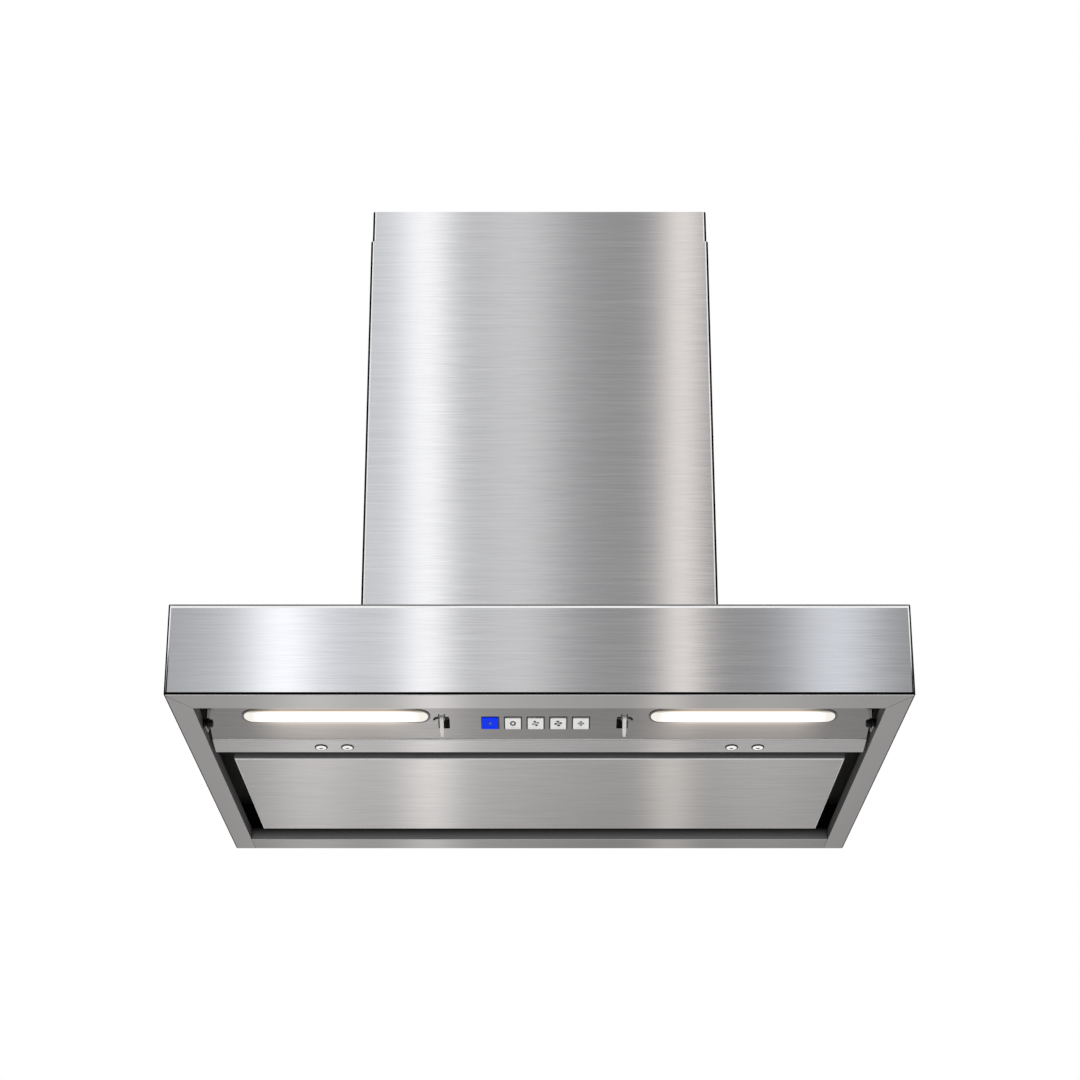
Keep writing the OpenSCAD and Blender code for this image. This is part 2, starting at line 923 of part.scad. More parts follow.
// Sliding bolt from the lever to the front wall of a filter
module latch_bolt(x) {
    bolt_end = filter_front_y + sheet + bolt_tip;
    fork = crank_r + 0.4;
    color(zinc)
    difference() {
        translate([x - bolt_w / 2, lever_y - 9, bolt_z - bolt_t / 2])
            cube([bolt_w, bolt_end - lever_y + 9, bolt_t]);
        translate([x - lever_t / 2 - gap, lever_y - fork, bolt_z - bolt_t])
            cube([lever_t + 2 * gap, 2 * fork, 2 * bolt_t]);
    }
}

module latch_bolt_left() {
    latch_bolt(latch_xs[0]);
}

module latch_bolt_right() {
    latch_bolt(latch_xs[1]);
}

// Panel with folded edges, its two rear hinge ears and the steel tabs that the magnets hold
module perimeter_panel() {
    color(steel)
    difference() {
        union() {
            translate([0, panel_mid_y, panel_z])
                folded_tray(panel_w, panel_d, panel_h, fold_r, sheet);
            for (x = [-hinge_x, hinge_x])
                translate([x - ear_gap / 2 + gap, panel_rear_y - sheet, pivot_z])
                    panel_ear();
            for (x = [-magnet_x, magnet_x])
                translate([x - 9, panel_front_y + sheet / 2, panel_z + panel_h - sheet])
                    cube([18, 14, sheet]);
        }
        for (x = [-hinge_x, hinge_x])
            translate([x, pivot_y, pivot_z])
                rotate([0, 90, 0])
                    cylinder(d = pin_d + 2 * pin_gap, h = 2 * ear_gap, center = true);
    }
}

module panel_ear() {
    reach = pivot_y - panel_rear_y + sheet;
    w = ear_gap - 2 * gap;
    translate([0, 0, -4])
        cube([w, reach, 8]);
    translate([0, reach, 0])
        rotate([0, 90, 0])
            cylinder(r = 4, h = w);
}

// Brackets that hang from the tray and hold the panel's hinge pins
module panel_hinge_brackets() {
    color(zinc)
    for (x = [-hinge_x, hinge_x])
        difference() {
            union() {
                for (side = [-1, 1])
                    translate([x + side * (ear_gap / 2 + ear_t / 2) - ear_t / 2, pivot_y, pivot_z])
                        union() {
                            rotate([0, 90, 0])
                                cylinder(r = 5, h = ear_t);
                            translate([0, -5, 0])
                                cube([ear_t, 10, tray_z - pivot_z - ear_t]);
                        }
                translate([x - ear_gap / 2 - ear_t, pivot_y - 5, tray_z - ear_t - 0.02])
                    cube([ear_gap + 2 * ear_t, 10, ear_t]);
            }
            translate([x, pivot_y, pivot_z])
                rotate([0, 90, 0])
                    cylinder(d = pin_d + 2 * pin_gap, h = 2 * ear_gap, center = true);
        }
}

module panel_hinge_pins() {
    color(zinc)
    for (x = [-hinge_x, hinge_x])
        translate([x, pivot_y, pivot_z])
            rotate([0, 90, 0])
                cylinder(d = pin_d, h = ear_gap + 2 * ear_t + 2, center = true);
}

// Magnets on arms from the cross rail, just above the panel's tabs
module panel_magnets() {
    low = panel_z + panel_h + gap;
    high = filter_z - 2 * gap - sheet - 1;
    color(black)
    for (x = [-magnet_x, magnet_x])
        difference() {
            translate([x - 8, rail_end_y + 0.02, low])
                cube([16, panel_front_y - rail_end_y + 13, high - low]);
            translate([x - 5, rail_end_y + 3, low + 3])
                cube([10, front_slot - 8, high]);
        }
}

// Frame of a baffle filter, as a channel all round, with the hole for its latch bolt
module filter_frame(side) {
    mid_x = side * (filters_w / 4);
    mid_y = (filter_front_y + filter_rear_y) / 2;
    rim = 9;
    color("#a9abae")
    difference() {
        translate([mid_x - filter_w / 2, filter_front_y, filter_z])
            cube([filter_w, filter_d, filter_t]);
        translate([mid_x - filter_w / 2 + sheet, filter_front_y + sheet, filter_z + sheet])
            cube([filter_w - 2 * sheet, filter_d - 2 * sheet, filter_t - 2 * sheet]);
        translate([mid_x, mid_y, filter_z - 1])
            linear_extrude(filter_t + 2)
                round_rect(filter_w - 2 * rim, filter_d - 2 * rim, 2);
        translate([latch_xs[side < 0 ? 0 : 1] - bolt_w / 2 - gap, filter_front_y - 1,
                   bolt_z - bolt_t / 2 - gap])
            cube([bolt_w + 2 * gap, sheet + 2, bolt_t + 2 * gap]);
    }
}

module filter_frame_left() {
    filter_frame(-1);
}

module filter_frame_right() {
    filter_frame(1);
}

// Two interleaved rows of gutter-shaped baffles in a filter
module filter_baffles(side) {
    mid_x = side * (filters_w / 4);
    y0 = filter_front_y + sheet + bolt_tip + 1.5;
    y1 = filter_rear_y - sheet - seat;
    inner_w = filter_w - 2 * sheet - 2 * seat;
    pitch = inner_w / (baffles + 0.5);
    gutter_w = pitch * 0.74;
    gutter_h = (filter_t - 2 * sheet) * 0.62;
    low = filter_z + sheet + seat;
    high = filter_z + filter_t - sheet - seat;
    color("#9fa1a4")
    for (i = [0:baffles - 1]) {
        translate([mid_x - inner_w / 2 + (i + 0.5) * pitch, 0, low])
            along_y(y0, y1)
                gutter(gutter_w, gutter_h);
        translate([mid_x - inner_w / 2 + (i + 1) * pitch, 0, high])
            along_y(y0, y1)
                mirror([0, 1])
                    gutter(gutter_w, gutter_h);
    }
}

// Gutter section standing on its base, with rolled-in lips
module gutter(w, h) {
    t = 0.6;
    r = 1.6;
    difference() {
        panel_outline(-w / 2, 0, w / 2, h, [r, r, r, r]);
        panel_outline(-w / 2 + t, t, w / 2 - t, h - t, [r - t, r - t, r - t, r - t]);
        translate([-w / 2 + 4, t])
            square([w - 8, h]);
    }
}

module filter_baffles_left() {
    filter_baffles(-1);
}

module filter_baffles_right() {
    filter_baffles(1);
}

// Plan of a three-sided chimney cover with flanges folded in at the wall
module chimney_plan(w, d, rear) {
    r = 2.4;
    y0 = rear - d;
    difference() {
        panel_outline(-w / 2, y0, w / 2, rear, [r, r, 0, 0]);
        panel_outline(-w / 2 + sheet, y0 + sheet, w / 2 - sheet, rear - sheet,
                      [r - sheet, r - sheet, 0, 0]);
        translate([-w / 2 + rear_flange, rear - 2 * sheet])
            square([w - 2 * rear_flange, 4 * sheet]);
    }
}

module lower_chimney() {
    color(steel)
    translate([0, 0, hood_h])
        linear_extrude(chimney_h)
            chimney_plan(chimney_w, chimney_d, 0);
}

module upper_chimney() {
    color(steel)
    difference() {
        translate([0, 0, upper_top_z - upper_l])
            linear_extrude(upper_l)
                chimney_plan(upper_w, upper_d, -sheet - slide_gap);
        for (side = [-1, 1])
            translate([side * upper_w / 2, bracket_screw_y, bracket_z + bracket_h / 2])
                rotate([0, 90, 0])
                    cylinder(d = 4 + 2 * pin_gap, h = 20, center = true);
    }
}

// Wall strap that the upper chimney is screwed to
module chimney_bracket() {
    plan = [
        [-bracket_arm_x - bracket_t, -bracket_t, bracket_arm_x + bracket_t, 0],
        [-bracket_arm_x - bracket_t, -bracket_step, -bracket_arm_x, 0],
        [bracket_arm_x, -bracket_step, bracket_arm_x + bracket_t, 0],
        [-bracket_half, -bracket_step - bracket_t, -bracket_arm_x, -bracket_step],
        [bracket_arm_x, -bracket_step - bracket_t, bracket_half, -bracket_step],
        [-bracket_half, -bracket_step - 24, -bracket_half + bracket_t, -bracket_step],
        [bracket_half - bracket_t, -bracket_step - 24, bracket_half, -bracket_step]
    ];
    color(zinc)
    difference() {
        translate([0, 0, bracket_z])
            linear_extrude(bracket_h)
                for (r = plan)
                    translate([r[0], r[1]])
                        square([r[2] - r[0], r[3] - r[1]]);
        for (x = [-bracket_bolt_x / 2, bracket_bolt_x / 2])
            translate([x, 1, bracket_z + bracket_h / 2])
                rotate([90, 0, 0])
                    cylinder(d = 6, h = 4);
        for (side = [-1, 1])
            translate([side * bracket_half, bracket_screw_y, bracket_z + bracket_h / 2])
                rotate([0, 90, 0])
                    cylinder(d = 4 + 2 * pin_gap, h = 20, center = true);
    }
}

// Domed screws through the sides of the upper chimney
module bracket_screws() {
    head = 1.8;
    color(zinc)
    for (side = [-1, 1])
        translate([side * (upper_w / 2), bracket_screw_y, bracket_z + bracket_h / 2])
            rotate([0, side * 90, 0])
                union() {
                    translate([0, 0, -8])
                        cylinder(d = 4, h = 8.2);
                    rotate_extrude()
                        intersection() {
                            translate([0, head - 4.6])
                                circle(4.6);
                            square([3.8, head]);
                        }
                }
}

// Angle clips on the deck that locate the foot of the lower chimney
module chimney_clips() {
    clip_l = 30;
    clip_h = 22;
    clip_w = 14;
    clip_t = 1.5;
    color(zinc)
    for (side = [-1, 1])
        translate([side * (chimney_w / 2 - sheet - 0.05), -chimney_d / 2 - clip_l / 2, hood_h + 0.02])
            mirror([side > 0 ? 1 : 0, 0, 0])
                union() {
                    cube([clip_t, clip_l, clip_h]);
                    cube([clip_w, clip_l, clip_t]);
                }
}

// Sheet box that closes the blower in, open to the canopy below
module blower_box() {
    h = box_top_z - hood_h;
    y_mid = (box_front_y + box_rear_y) / 2;
    d = box_rear_y - box_front_y;
    foot = 10;
    color(zinc)
    difference() {
        union() {
            translate([0, y_mid, box_top_z])
                mirror([0, 0, 1])
                    folded_tray(2 * box_half, d, h, 2.4, sheet);
            translate([0, y_mid, hood_h + 0.02])
                linear_extrude(1.5)
                    difference() {
                        square([2 * box_half, d], center = true);
                        square([2 * (box_half - foot), d - 2 * foot], center = true);
                    }
        }
        translate([-volute_half - gap, neck_y0 - gap, box_top_z - 2 * sheet])
            cube([2 * (volute_half + gap), neck_y1 - neck_y0 + 2 * gap, 4 * sheet]);
    }
}

// Radius of the scroll at angle a, growing from the tongue round to the outlet
function volute_r(a) = volute_min + (volute_max - volute_min) * (a - tongue_a) / (360 - tongue_a);

// Outline of the scroll and its outlet neck, as (y, z) about the blower's axis, drawn in by t
module volute_outline(t) {
    top = box_top_z - axis_z + (t > 0 ? 1 : 0);
    tongue_y = volute_min * cos(tongue_a) + t;
    spiral = [for (a = [tongue_a:10:360]) (volute_r(a) - t) * [cos(a), sin(a)]];
    neck = [[volute_max - t, top], [tongue_y, top]];
    step = t > 0 ? [[tongue_y, (volute_min - t) * sin(tongue_a)]] : [];
    polygon(concat(spiral, neck, step));
}

// One moulded half of the scroll: its side wall with a bell-mouth inlet, and half of the rim wall
module scroll_half(side) {
    color("#3a3c40")
    translate([0, axis_y, axis_z])
        mirror([side < 0 ? 1 : 0, 0, 0])
            difference() {
                union() {
                    difference() {
                        translate([0.05, 0, 0])
                            rotate([90, 0, 90])
                                linear_extrude(volute_half - 0.05)
                                    volute_outline(0);
                        translate([-1, 0, 0])
                            rotate([90, 0, 90])
                                linear_extrude(volute_half - volute_wall + 1)
                                    volute_outline(volute_wall);
                    }
                    translate([volute_half, 0, 0])
                        rotate([0, 90, 0])
                            rotate_extrude()
                                translate([inlet_r + bell_r, 0])
                                    circle(bell_r);
                    for (a = lugs)
                        rotate([a, 0, 0])
                            translate([0.05, volute_r(a) + 3, 0])
                                rotate([0, 90, 0])
                                    cylinder(r = lug_r, h = 12);
                }
                translate([volute_half - 10, 0, 0])
                    rotate([0, 90, 0])
                        cylinder(r = inlet_r, h = 20);
                for (a = lugs)
                    rotate([a, 0, 0])
                        translate([-1, volute_r(a) + 3, 0])
                            rotate([0, 90, 0])
                                cylinder(d = 3.4, h = 20);
            }
}

module scroll_left() {
    scroll_half(-1);
}

module scroll_right() {
    scroll_half(1);
}

// Drum impeller with forward-curved blades between two rims and a dished centre plate
module impeller() {
    blade_r = 12;
    root_r = impeller_r - 13;
    color("#50535a")
    translate([0, axis_y, axis_z])
        rotate([90, 0, 90])
            union() {
                for (side = [-1, 1])
                    translate([0, 0, side * (impeller_half - 1.5) - 1.5])
                        linear_extrude(3)
                            difference() {
                                circle(impeller_r);
                                circle(root_r);
                            }
                translate([0, 0, hub_x])
                    linear_extrude(2)
                        difference() {
                            circle(impeller_r - 1);
                            circle(d = shaft_d);
                            for (i = [0:5])
                                rotate(i * 60)
                                    translate([root_r * 0.68, 0])
                                        circle(7);
                        }
                translate([0, 0, hub_x])
                    linear_extrude(14)
                        difference() {
                            circle(10);
                            circle(d = shaft_d);
                        }
                translate([0, 0, -impeller_half + 1])
                    linear_extrude(2 * impeller_half - 2)
                        for (i = [0:blades - 1])
                            rotate(i * 360 / blades)
                                blade(root_r + 0.5, impeller_r - 0.5, blade_r);
            }
}

// Section of one blade, an arc from radius r0 to r1
module blade(r0, r1, r) {
    intersection() {
        translate([(r0 + r1) / 2, -r + 2.5])
            difference() {
                circle(r + 0.6);
                circle(r - 0.6);
            }
        difference() {
            circle(r1);
            circle(r0);
        }
        translate([0, -3])
            square([r1 + 1, 12]);
    }
}

module motor_shaft() {
    color(zinc)
    translate([-motor_back - 6, axis_y, axis_z])
        rotate([0, 90, 0])
            cylinder(d = shaft_d - 2 * 0.02, h = motor_back + 6 + hub_x + 16);
}

// Motor inside the drum: a can with ribbed end caps
module motor() {
    l = motor_back + motor_front;
    color(zinc)
    translate([-motor_back, axis_y, axis_z])
        rotate([0, 90, 0])
            difference() {
                union() {
                    rotate_extrude()
                        polygon([[0, 0], [16, 0], [16, 4], [motor_r - 6, 4], [motor_r, 10],
                                 [motor_r, l - 10], [motor_r - 6, l - 4], [16, l - 4], [16, l], [0, l]]);
                    for (i = [0:11])
                        rotate(i * 30)
                            translate([motor_r - 1, -1, 12])
                                cube([3, 2, l - 24]);
                }
                translate([0, 0, -1])
                    cylinder(d = shaft_d + 2 * pin_gap, h = l + 2);
            }
}

// Three-armed spider that carries the motor in the left inlet
module motor_spider() {
    arm_x = -volute_half - 4;
    arm_t = 3;
    arm_w = 12;
    pad_r = 5;
    boss_wall = 2;
    reach = inlet_r + 2 * bell_r + pad_r + gap;
    color(black)
    translate([0, axis_y, axis_z])
        difference() {
            union() {
                translate([arm_x - arm_t - 0.6, 0, 0])
                    rotate([0, 90, 0])
                        cylinder(r = 22, h = arm_t + 1.2);
                translate([arm_x - 1, 0, 0])
                    rotate([0, 90, 0])
                        cylinder(r = 14, h = -motor_back - arm_x + 1 - 0.02);
                for (a = [30, 150, 270])
                    rotate([a, 0, 0]) {
                        translate([arm_x - arm_t, 0, -arm_w / 2])
                            cube([arm_t, reach, arm_w]);
                        translate([arm_x - arm_t - 0.4, reach, 0])
                            rotate([0, 90, 0])
                                cylinder(r = pad_r, h = arm_t + 4.4 - 0.02);
                    }
            }
            translate([arm_x - arm_t - 2, 0, 0])
                rotate([0, 90, 0])
                    cylinder(d = shaft_d + 2 * boss_wall, h = volute_half);
        }
}

// Round spigot for the duct on a square flange, with ledges under the dampers
module duct_collar() {
    r = duct_d / 2;
    ledge = 3;
    flange = 3.5;
    color(black)
    translate([0, duct_y, box_top_z])
        difference() {
            union() {
                translate([0, 0, 0.02])
                    linear_extrude(collar_flange_t)
                        round_rect(2 * (r + flange), 2 * (r + flange), 6);
                translate([0, 0, 2])
                    cylinder(r = r, h = duct_l, $fn = 96);
            }
            translate([0, 0, -1])
                cylinder(r = r - duct_wall - ledge, h = duct_l + 10, $fn = 96);
            translate([0, 0, damper_z - box_top_z - 1.3])
                cylinder(r = r - duct_wall, h = duct_l + 10, $fn = 96);
            translate([-r, 0, damper_z - box_top_z])
                rotate([0, 90, 0])
                    cylinder(d = spindle_d + 2 * pin_gap, h = 2 * r);
        }
}

// Half-round damper flap that folds up about the spindle
module damper(side) {
    knuckle_r = 3.6;
    lane = 11;
    color("#2f3135")
    translate([0, duct_y, damper_z])
        difference() {
            union() {
                translate([0, 0, -0.8])
                    linear_extrude(1.6)
                        intersection() {
                            circle(damper_r, $fn = 96);
                            translate([-damper_r, side > 0 ? knuckle_r + 0.6 : -damper_r - knuckle_r - 0.6])
                                square([2 * damper_r, damper_r]);
                        }
                for (i = [-2:2])
                    translate([i * 2 * lane + side * lane / 2 - lane / 2 + gap, 0, 0]) {
                        rotate([0, 90, 0])
                            cylinder(r = knuckle_r, h = lane - 2 * gap);
                        translate([0, side > 0 ? 0 : -knuckle_r - 2, -0.8])
                            cube([lane - 2 * gap, knuckle_r + 2, 1.6]);
                    }
            }
            translate([-damper_r, 0, 0])
                rotate([0, 90, 0])
                    cylinder(d = spindle_d + 2 * pin_gap, h = 2 * damper_r);
        }
}

module damper_front() {
    damper(-1);
}

module damper_rear() {
    damper(1);
}

module damper_spindle() {
    color(zinc)
    translate([0, duct_y, damper_z])
        rotate([0, 90, 0])
            cylinder(d = spindle_d, h = duct_d - 1, center = true);
}

// Junction box under the deck, with its lid and screws
module terminal_box() {
    w = 90;
    d = 64;
    h = hood_h - sheet - tray_z - sheet - 3;
    x0 = box_half + 12;
    y0 = -160;
    color("#d9d9d6")
    translate([x0, y0, hood_h - sheet - 0.02 - h])
        difference() {
            union() {
                translate([w / 2, d / 2, 2])
                    linear_extrude(h - 2)
                        round_rect(w, d, 4);
                translate([w / 2, d / 2, 0])
                    linear_extrude(2)
                        round_rect(w + 3, d + 3, 5);
            }
            translate([w / 2, d / 2, 2])
                linear_extrude(h - 4)
                    round_rect(w - 4, d - 4, 3);
            for (x = [8, w - 8], y = [8, d - 8])
                translate([x, y, -1])
                    cylinder(d = 3.2, h = 2.2);
        }
}

// Gland in the deck for the mains lead
module cable_gland() {
    color(black)
    translate([gland_x, gland_y, hood_h])
        difference() {
            union() {
                translate([0, 0, -4])
                    cylinder(d = gland_d, h = 8);
                translate([0, 0, 0.02])
                    cylinder(d = 18, h = 5, $fn = 6);
                translate([0, 0, 5])
                    rotate_extrude()
                        polygon([[0, 0], [7.5, 0], [7.5, 4], [5, 9], [0, 9]]);
                translate([0, 0, -sheet - 3.5])
                    cylinder(d = 18, h = 3.4, $fn = 6);
            }
            translate([0, 0, -gland_d])
                cylinder(d = lead_d, h = 3 * gland_d);
        }
}

canopy_shell();
canopy_back();
plenum_tray();
control_plate();
cross_rail();
rail_washers();
rail_screws();
rail_nuts();
side_bolts();
lamp_bezel_left();
lamp_bezel_right();
lamp_lens_left();
lamp_lens_right();
lamp_housing_left();
lamp_housing_right();
led_board_left();
led_board_right();
button_housing();
switch_board();
button_power();
button_light();
button_speed_low();
button_speed_mid();
button_speed_high();
latch_bracket_left();
latch_bracket_right();
latch_pin_left();
latch_pin_right();
latch_lever_left();
latch_lever_right();
latch_bolt_left();
latch_bolt_right();
perimeter_panel();
panel_hinge_brackets();
panel_hinge_pins();
panel_magnets();
filter_frame_left();
filter_frame_right();
filter_baffles_left();
filter_baffles_right();
lower_chimney();
upper_chimney();
chimney_bracket();
bracket_screws();
chimney_clips();
blower_box();
scroll_left();
scroll_right();
impeller();
motor_shaft();
motor();
motor_spider();
duct_collar();
damper_front();
damper_rear();
damper_spindle();
terminal_box();
cable_gland();
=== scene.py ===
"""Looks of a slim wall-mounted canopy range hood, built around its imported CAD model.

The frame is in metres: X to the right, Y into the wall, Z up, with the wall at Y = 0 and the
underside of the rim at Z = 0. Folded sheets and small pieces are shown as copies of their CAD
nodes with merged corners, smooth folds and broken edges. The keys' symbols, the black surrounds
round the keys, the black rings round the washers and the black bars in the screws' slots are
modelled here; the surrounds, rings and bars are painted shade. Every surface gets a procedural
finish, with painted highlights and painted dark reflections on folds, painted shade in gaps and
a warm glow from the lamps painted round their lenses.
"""

import json
import logging
import math
from dataclasses import dataclass
from enum import Enum

import bpy
from mathutils import Matrix, Vector

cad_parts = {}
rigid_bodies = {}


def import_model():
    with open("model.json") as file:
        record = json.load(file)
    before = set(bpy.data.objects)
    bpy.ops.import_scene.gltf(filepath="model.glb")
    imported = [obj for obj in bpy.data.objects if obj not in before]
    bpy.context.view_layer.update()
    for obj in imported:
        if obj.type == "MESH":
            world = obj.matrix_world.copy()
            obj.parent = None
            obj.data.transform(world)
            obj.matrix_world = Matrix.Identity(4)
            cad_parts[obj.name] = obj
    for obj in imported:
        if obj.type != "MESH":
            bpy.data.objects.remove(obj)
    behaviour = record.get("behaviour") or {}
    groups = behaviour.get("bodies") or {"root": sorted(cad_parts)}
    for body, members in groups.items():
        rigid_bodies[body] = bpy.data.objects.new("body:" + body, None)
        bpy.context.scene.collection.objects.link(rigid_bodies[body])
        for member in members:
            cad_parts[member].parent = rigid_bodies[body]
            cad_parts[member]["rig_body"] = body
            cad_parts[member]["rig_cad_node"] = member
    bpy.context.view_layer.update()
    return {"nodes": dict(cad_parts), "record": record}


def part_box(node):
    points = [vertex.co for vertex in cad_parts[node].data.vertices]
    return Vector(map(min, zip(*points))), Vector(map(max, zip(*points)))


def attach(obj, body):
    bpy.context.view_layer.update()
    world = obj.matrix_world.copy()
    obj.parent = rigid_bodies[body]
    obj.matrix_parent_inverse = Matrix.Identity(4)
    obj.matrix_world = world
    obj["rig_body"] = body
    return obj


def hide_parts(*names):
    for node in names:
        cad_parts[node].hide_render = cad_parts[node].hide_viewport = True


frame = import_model()

LOG = logging.getLogger("hood")
MM = 0.001
MERGE_DISTANCE = 2e-6
# Faces that meet flatter than this are one face
FLAT_DEG = 0.1
# Edges sharper than this get broken
SHARP_DEG = 45
EDGE_SEGMENTS = 2
# Nearly all of a noise lies between these
NOISE_LOW = 0.3
NOISE_HIGH = 0.7
# The body that doesn't move
HOOD = "hood"
BLACK = "black_plastic"
# Middle of the right lamp; the left one mirrors it
LAMP_X = 171 * MM
LAMP_Y = -392 * MM

Tree = bpy.types.NodeTree
Node = bpy.types.Node
Socket = bpy.types.NodeSocket
Material = bpy.types.Material
Piece = bpy.types.Object
Point = tuple[float, float, float]
# Where a soft mask starts, is full, starts to fall and is gone
Ends = tuple[float, float, float, float]


class Symbol(Enum):
    """What is printed on a key."""

    POWER = "ring with a pilot light"
    RING = "ring"
    FAN = "fan"
    FAN_FULL = "full fan"
    FAN_FINE = "fine fan"


def linear(hex_colour: str) -> tuple[float, float, float, float]:
    """Turns an sRGB hex colour into linear RGBA.

    Args:
        hex_colour: Six hex digits with a leading hash.

    Returns:
        The linear colour, with full alpha.
    """
    parts = [int(hex_colour[i : i + 2], 16) / 255 for i in (1, 3, 5)]
    red, green, blue = (c / 12.92 if c <= 0.04045 else ((c + 0.055) / 1.055) ** 2.4 for c in parts)
    return red, green, blue, 1.0


def set_inputs(tree: Tree, node: Node, inputs: dict) -> None:
    """Gives inputs of a node their values and links.

    Args:
        tree: The node's tree.
        node: The node.
        inputs: Input name or number to a value, or to a socket that is linked there.
    """
    for key, value in inputs.items():
        if isinstance(value, Socket):
            tree.links.new(value, node.inputs[key])
        else:
            node.inputs[key].default_value = value


def add_node(tree: Tree, kind: str, inputs: dict | None = None, **settings: object) -> Node:
    """Adds a shader node with its settings, values and links.

    Args:
        tree: The node tree that gets the node.
        kind: The node's type, without the leading ShaderNode.
        inputs: Input name or number to a value, or to a socket that is linked there.
        settings: Attributes set on the node itself.

    Returns:
        The new node.
    """
    node = tree.nodes.new(f"ShaderNode{kind}")
    for key, value in settings.items():
        setattr(node, key, value)
    set_inputs(tree, node, inputs or {})
    return node


def new_material(name: str) -> tuple[Material, Tree, Node]:
    """Makes an empty material with one Principled shader.

    Args:
        name: The finish's name.

    Returns:
        The material, its node tree and its shader.
    """
    material = bpy.data.materials.new(name)
    material.use_nodes = True
    tree = material.node_tree
    tree.nodes.clear()
    shader = add_node(tree, "BsdfPrincipled")
    add_node(tree, "OutputMaterial", {"Surface": shader.outputs["BSDF"]})
    return material, tree, shader


def distance_from(tree: Tree, value: Socket, middle: float) -> Socket:
    """How far a coordinate is from its middle."""
    off = add_node(tree, "Math", {0: value, 1: middle}, operation="SUBTRACT").outputs[0]
    return add_node(tree, "Math", {0: off}, operation="ABSOLUTE").outputs[0]


def between(tree: Tree, value: Socket, ends: Ends) -> Socket:
    """Marks a range of a value, softly at both ends.

    Args:
        tree: The material's tree.
        value: The value that is looked at.
        ends: Where the mask starts, is full, starts to fall and is gone.

    Returns:
        The mask, from 0 to 1.
    """
    rise = add_node(tree, "MapRange", {"Value": value, 1: ends[0], 2: ends[1]}).outputs[0]
    fall = add_node(tree, "MapRange", {"Value": value, 1: ends[3], 2: ends[2]}).outputs[0]
    return add_node(tree, "Math", {0: rise, 1: fall}, operation="MULTIPLY").outputs[0]


@dataclass(frozen=True)
class PaintedLampGlow:
    """Painted light: a warm glow, as emission, round the frosted lenses on what lies beside them."""

    half_height: float = 9 * MM
    even_half: float = 42 * MM
    end_half: float = 78 * MM
    tint: str = "#ffeedd"
    close: float = 0.34
    close_reach: float = 2.2 * MM
    wide: float = 0.20
    wide_reach: float = 26 * MM

    def add_to(self, tree: Tree, place: Socket, shader: Node) -> None:
        """Paints a warm glow on a shader, as emission, by its distance from the nearest lens.

        Args:
            tree: The material's tree.
            place: Object coordinates, in metres.
            shader: The shader that gets the painted glow.
        """
        spot = add_node(tree, "SeparateXYZ", {0: place}).outputs
        out = add_node(tree, "Math", {0: spot["X"]}, operation="ABSOLUTE").outputs[0]
        along = distance_from(tree, out, LAMP_X)
        across = distance_from(tree, spot["Y"], LAMP_Y)
        beside = add_node(tree, "Math", {0: across, 1: self.half_height}, operation="SUBTRACT").outputs[0]
        beside = add_node(tree, "Math", {0: beside, 1: 0.0}, operation="MAXIMUM").outputs[0]
        ends = {"Value": along, 1: self.end_half, 2: self.even_half}
        level = add_node(tree, "MapRange", ends, interpolation_type="SMOOTHSTEP").outputs[0]
        near = self._fall(tree, beside, self.close_reach, self.close)
        far = self._fall(tree, beside, self.wide_reach, self.wide)
        both = add_node(tree, "Math", {0: near, 1: far}, operation="ADD").outputs[0]
        strength = add_node(tree, "Math", {0: both, 1: level}, operation="MULTIPLY").outputs[0]
        set_inputs(tree, shader, {"Emission Strength": strength, "Emission Color": linear(self.tint)})

    def _fall(self, tree: Tree, away: Socket, reach: float, strength: float) -> Socket:
        """Painted glow that falls off with distance.

        Args:
            tree: The material's tree.
            away: Distance from the lens.
            reach: Distance over which the painted glow falls to about a third.
            strength: The painted glow at the lens.

        Returns:
            The painted glow.
        """
        steps = add_node(tree, "Math", {0: away, 1: -1 / reach}, operation="MULTIPLY").outputs[0]
        share = add_node(tree, "Math", {0: steps}, operation="EXPONENT").outputs[0]
        return add_node(tree, "Math", {0: share, 1: strength}, operation="MULTIPLY").outputs[0]


PAINTED_LAMP_GLOW = PaintedLampGlow()


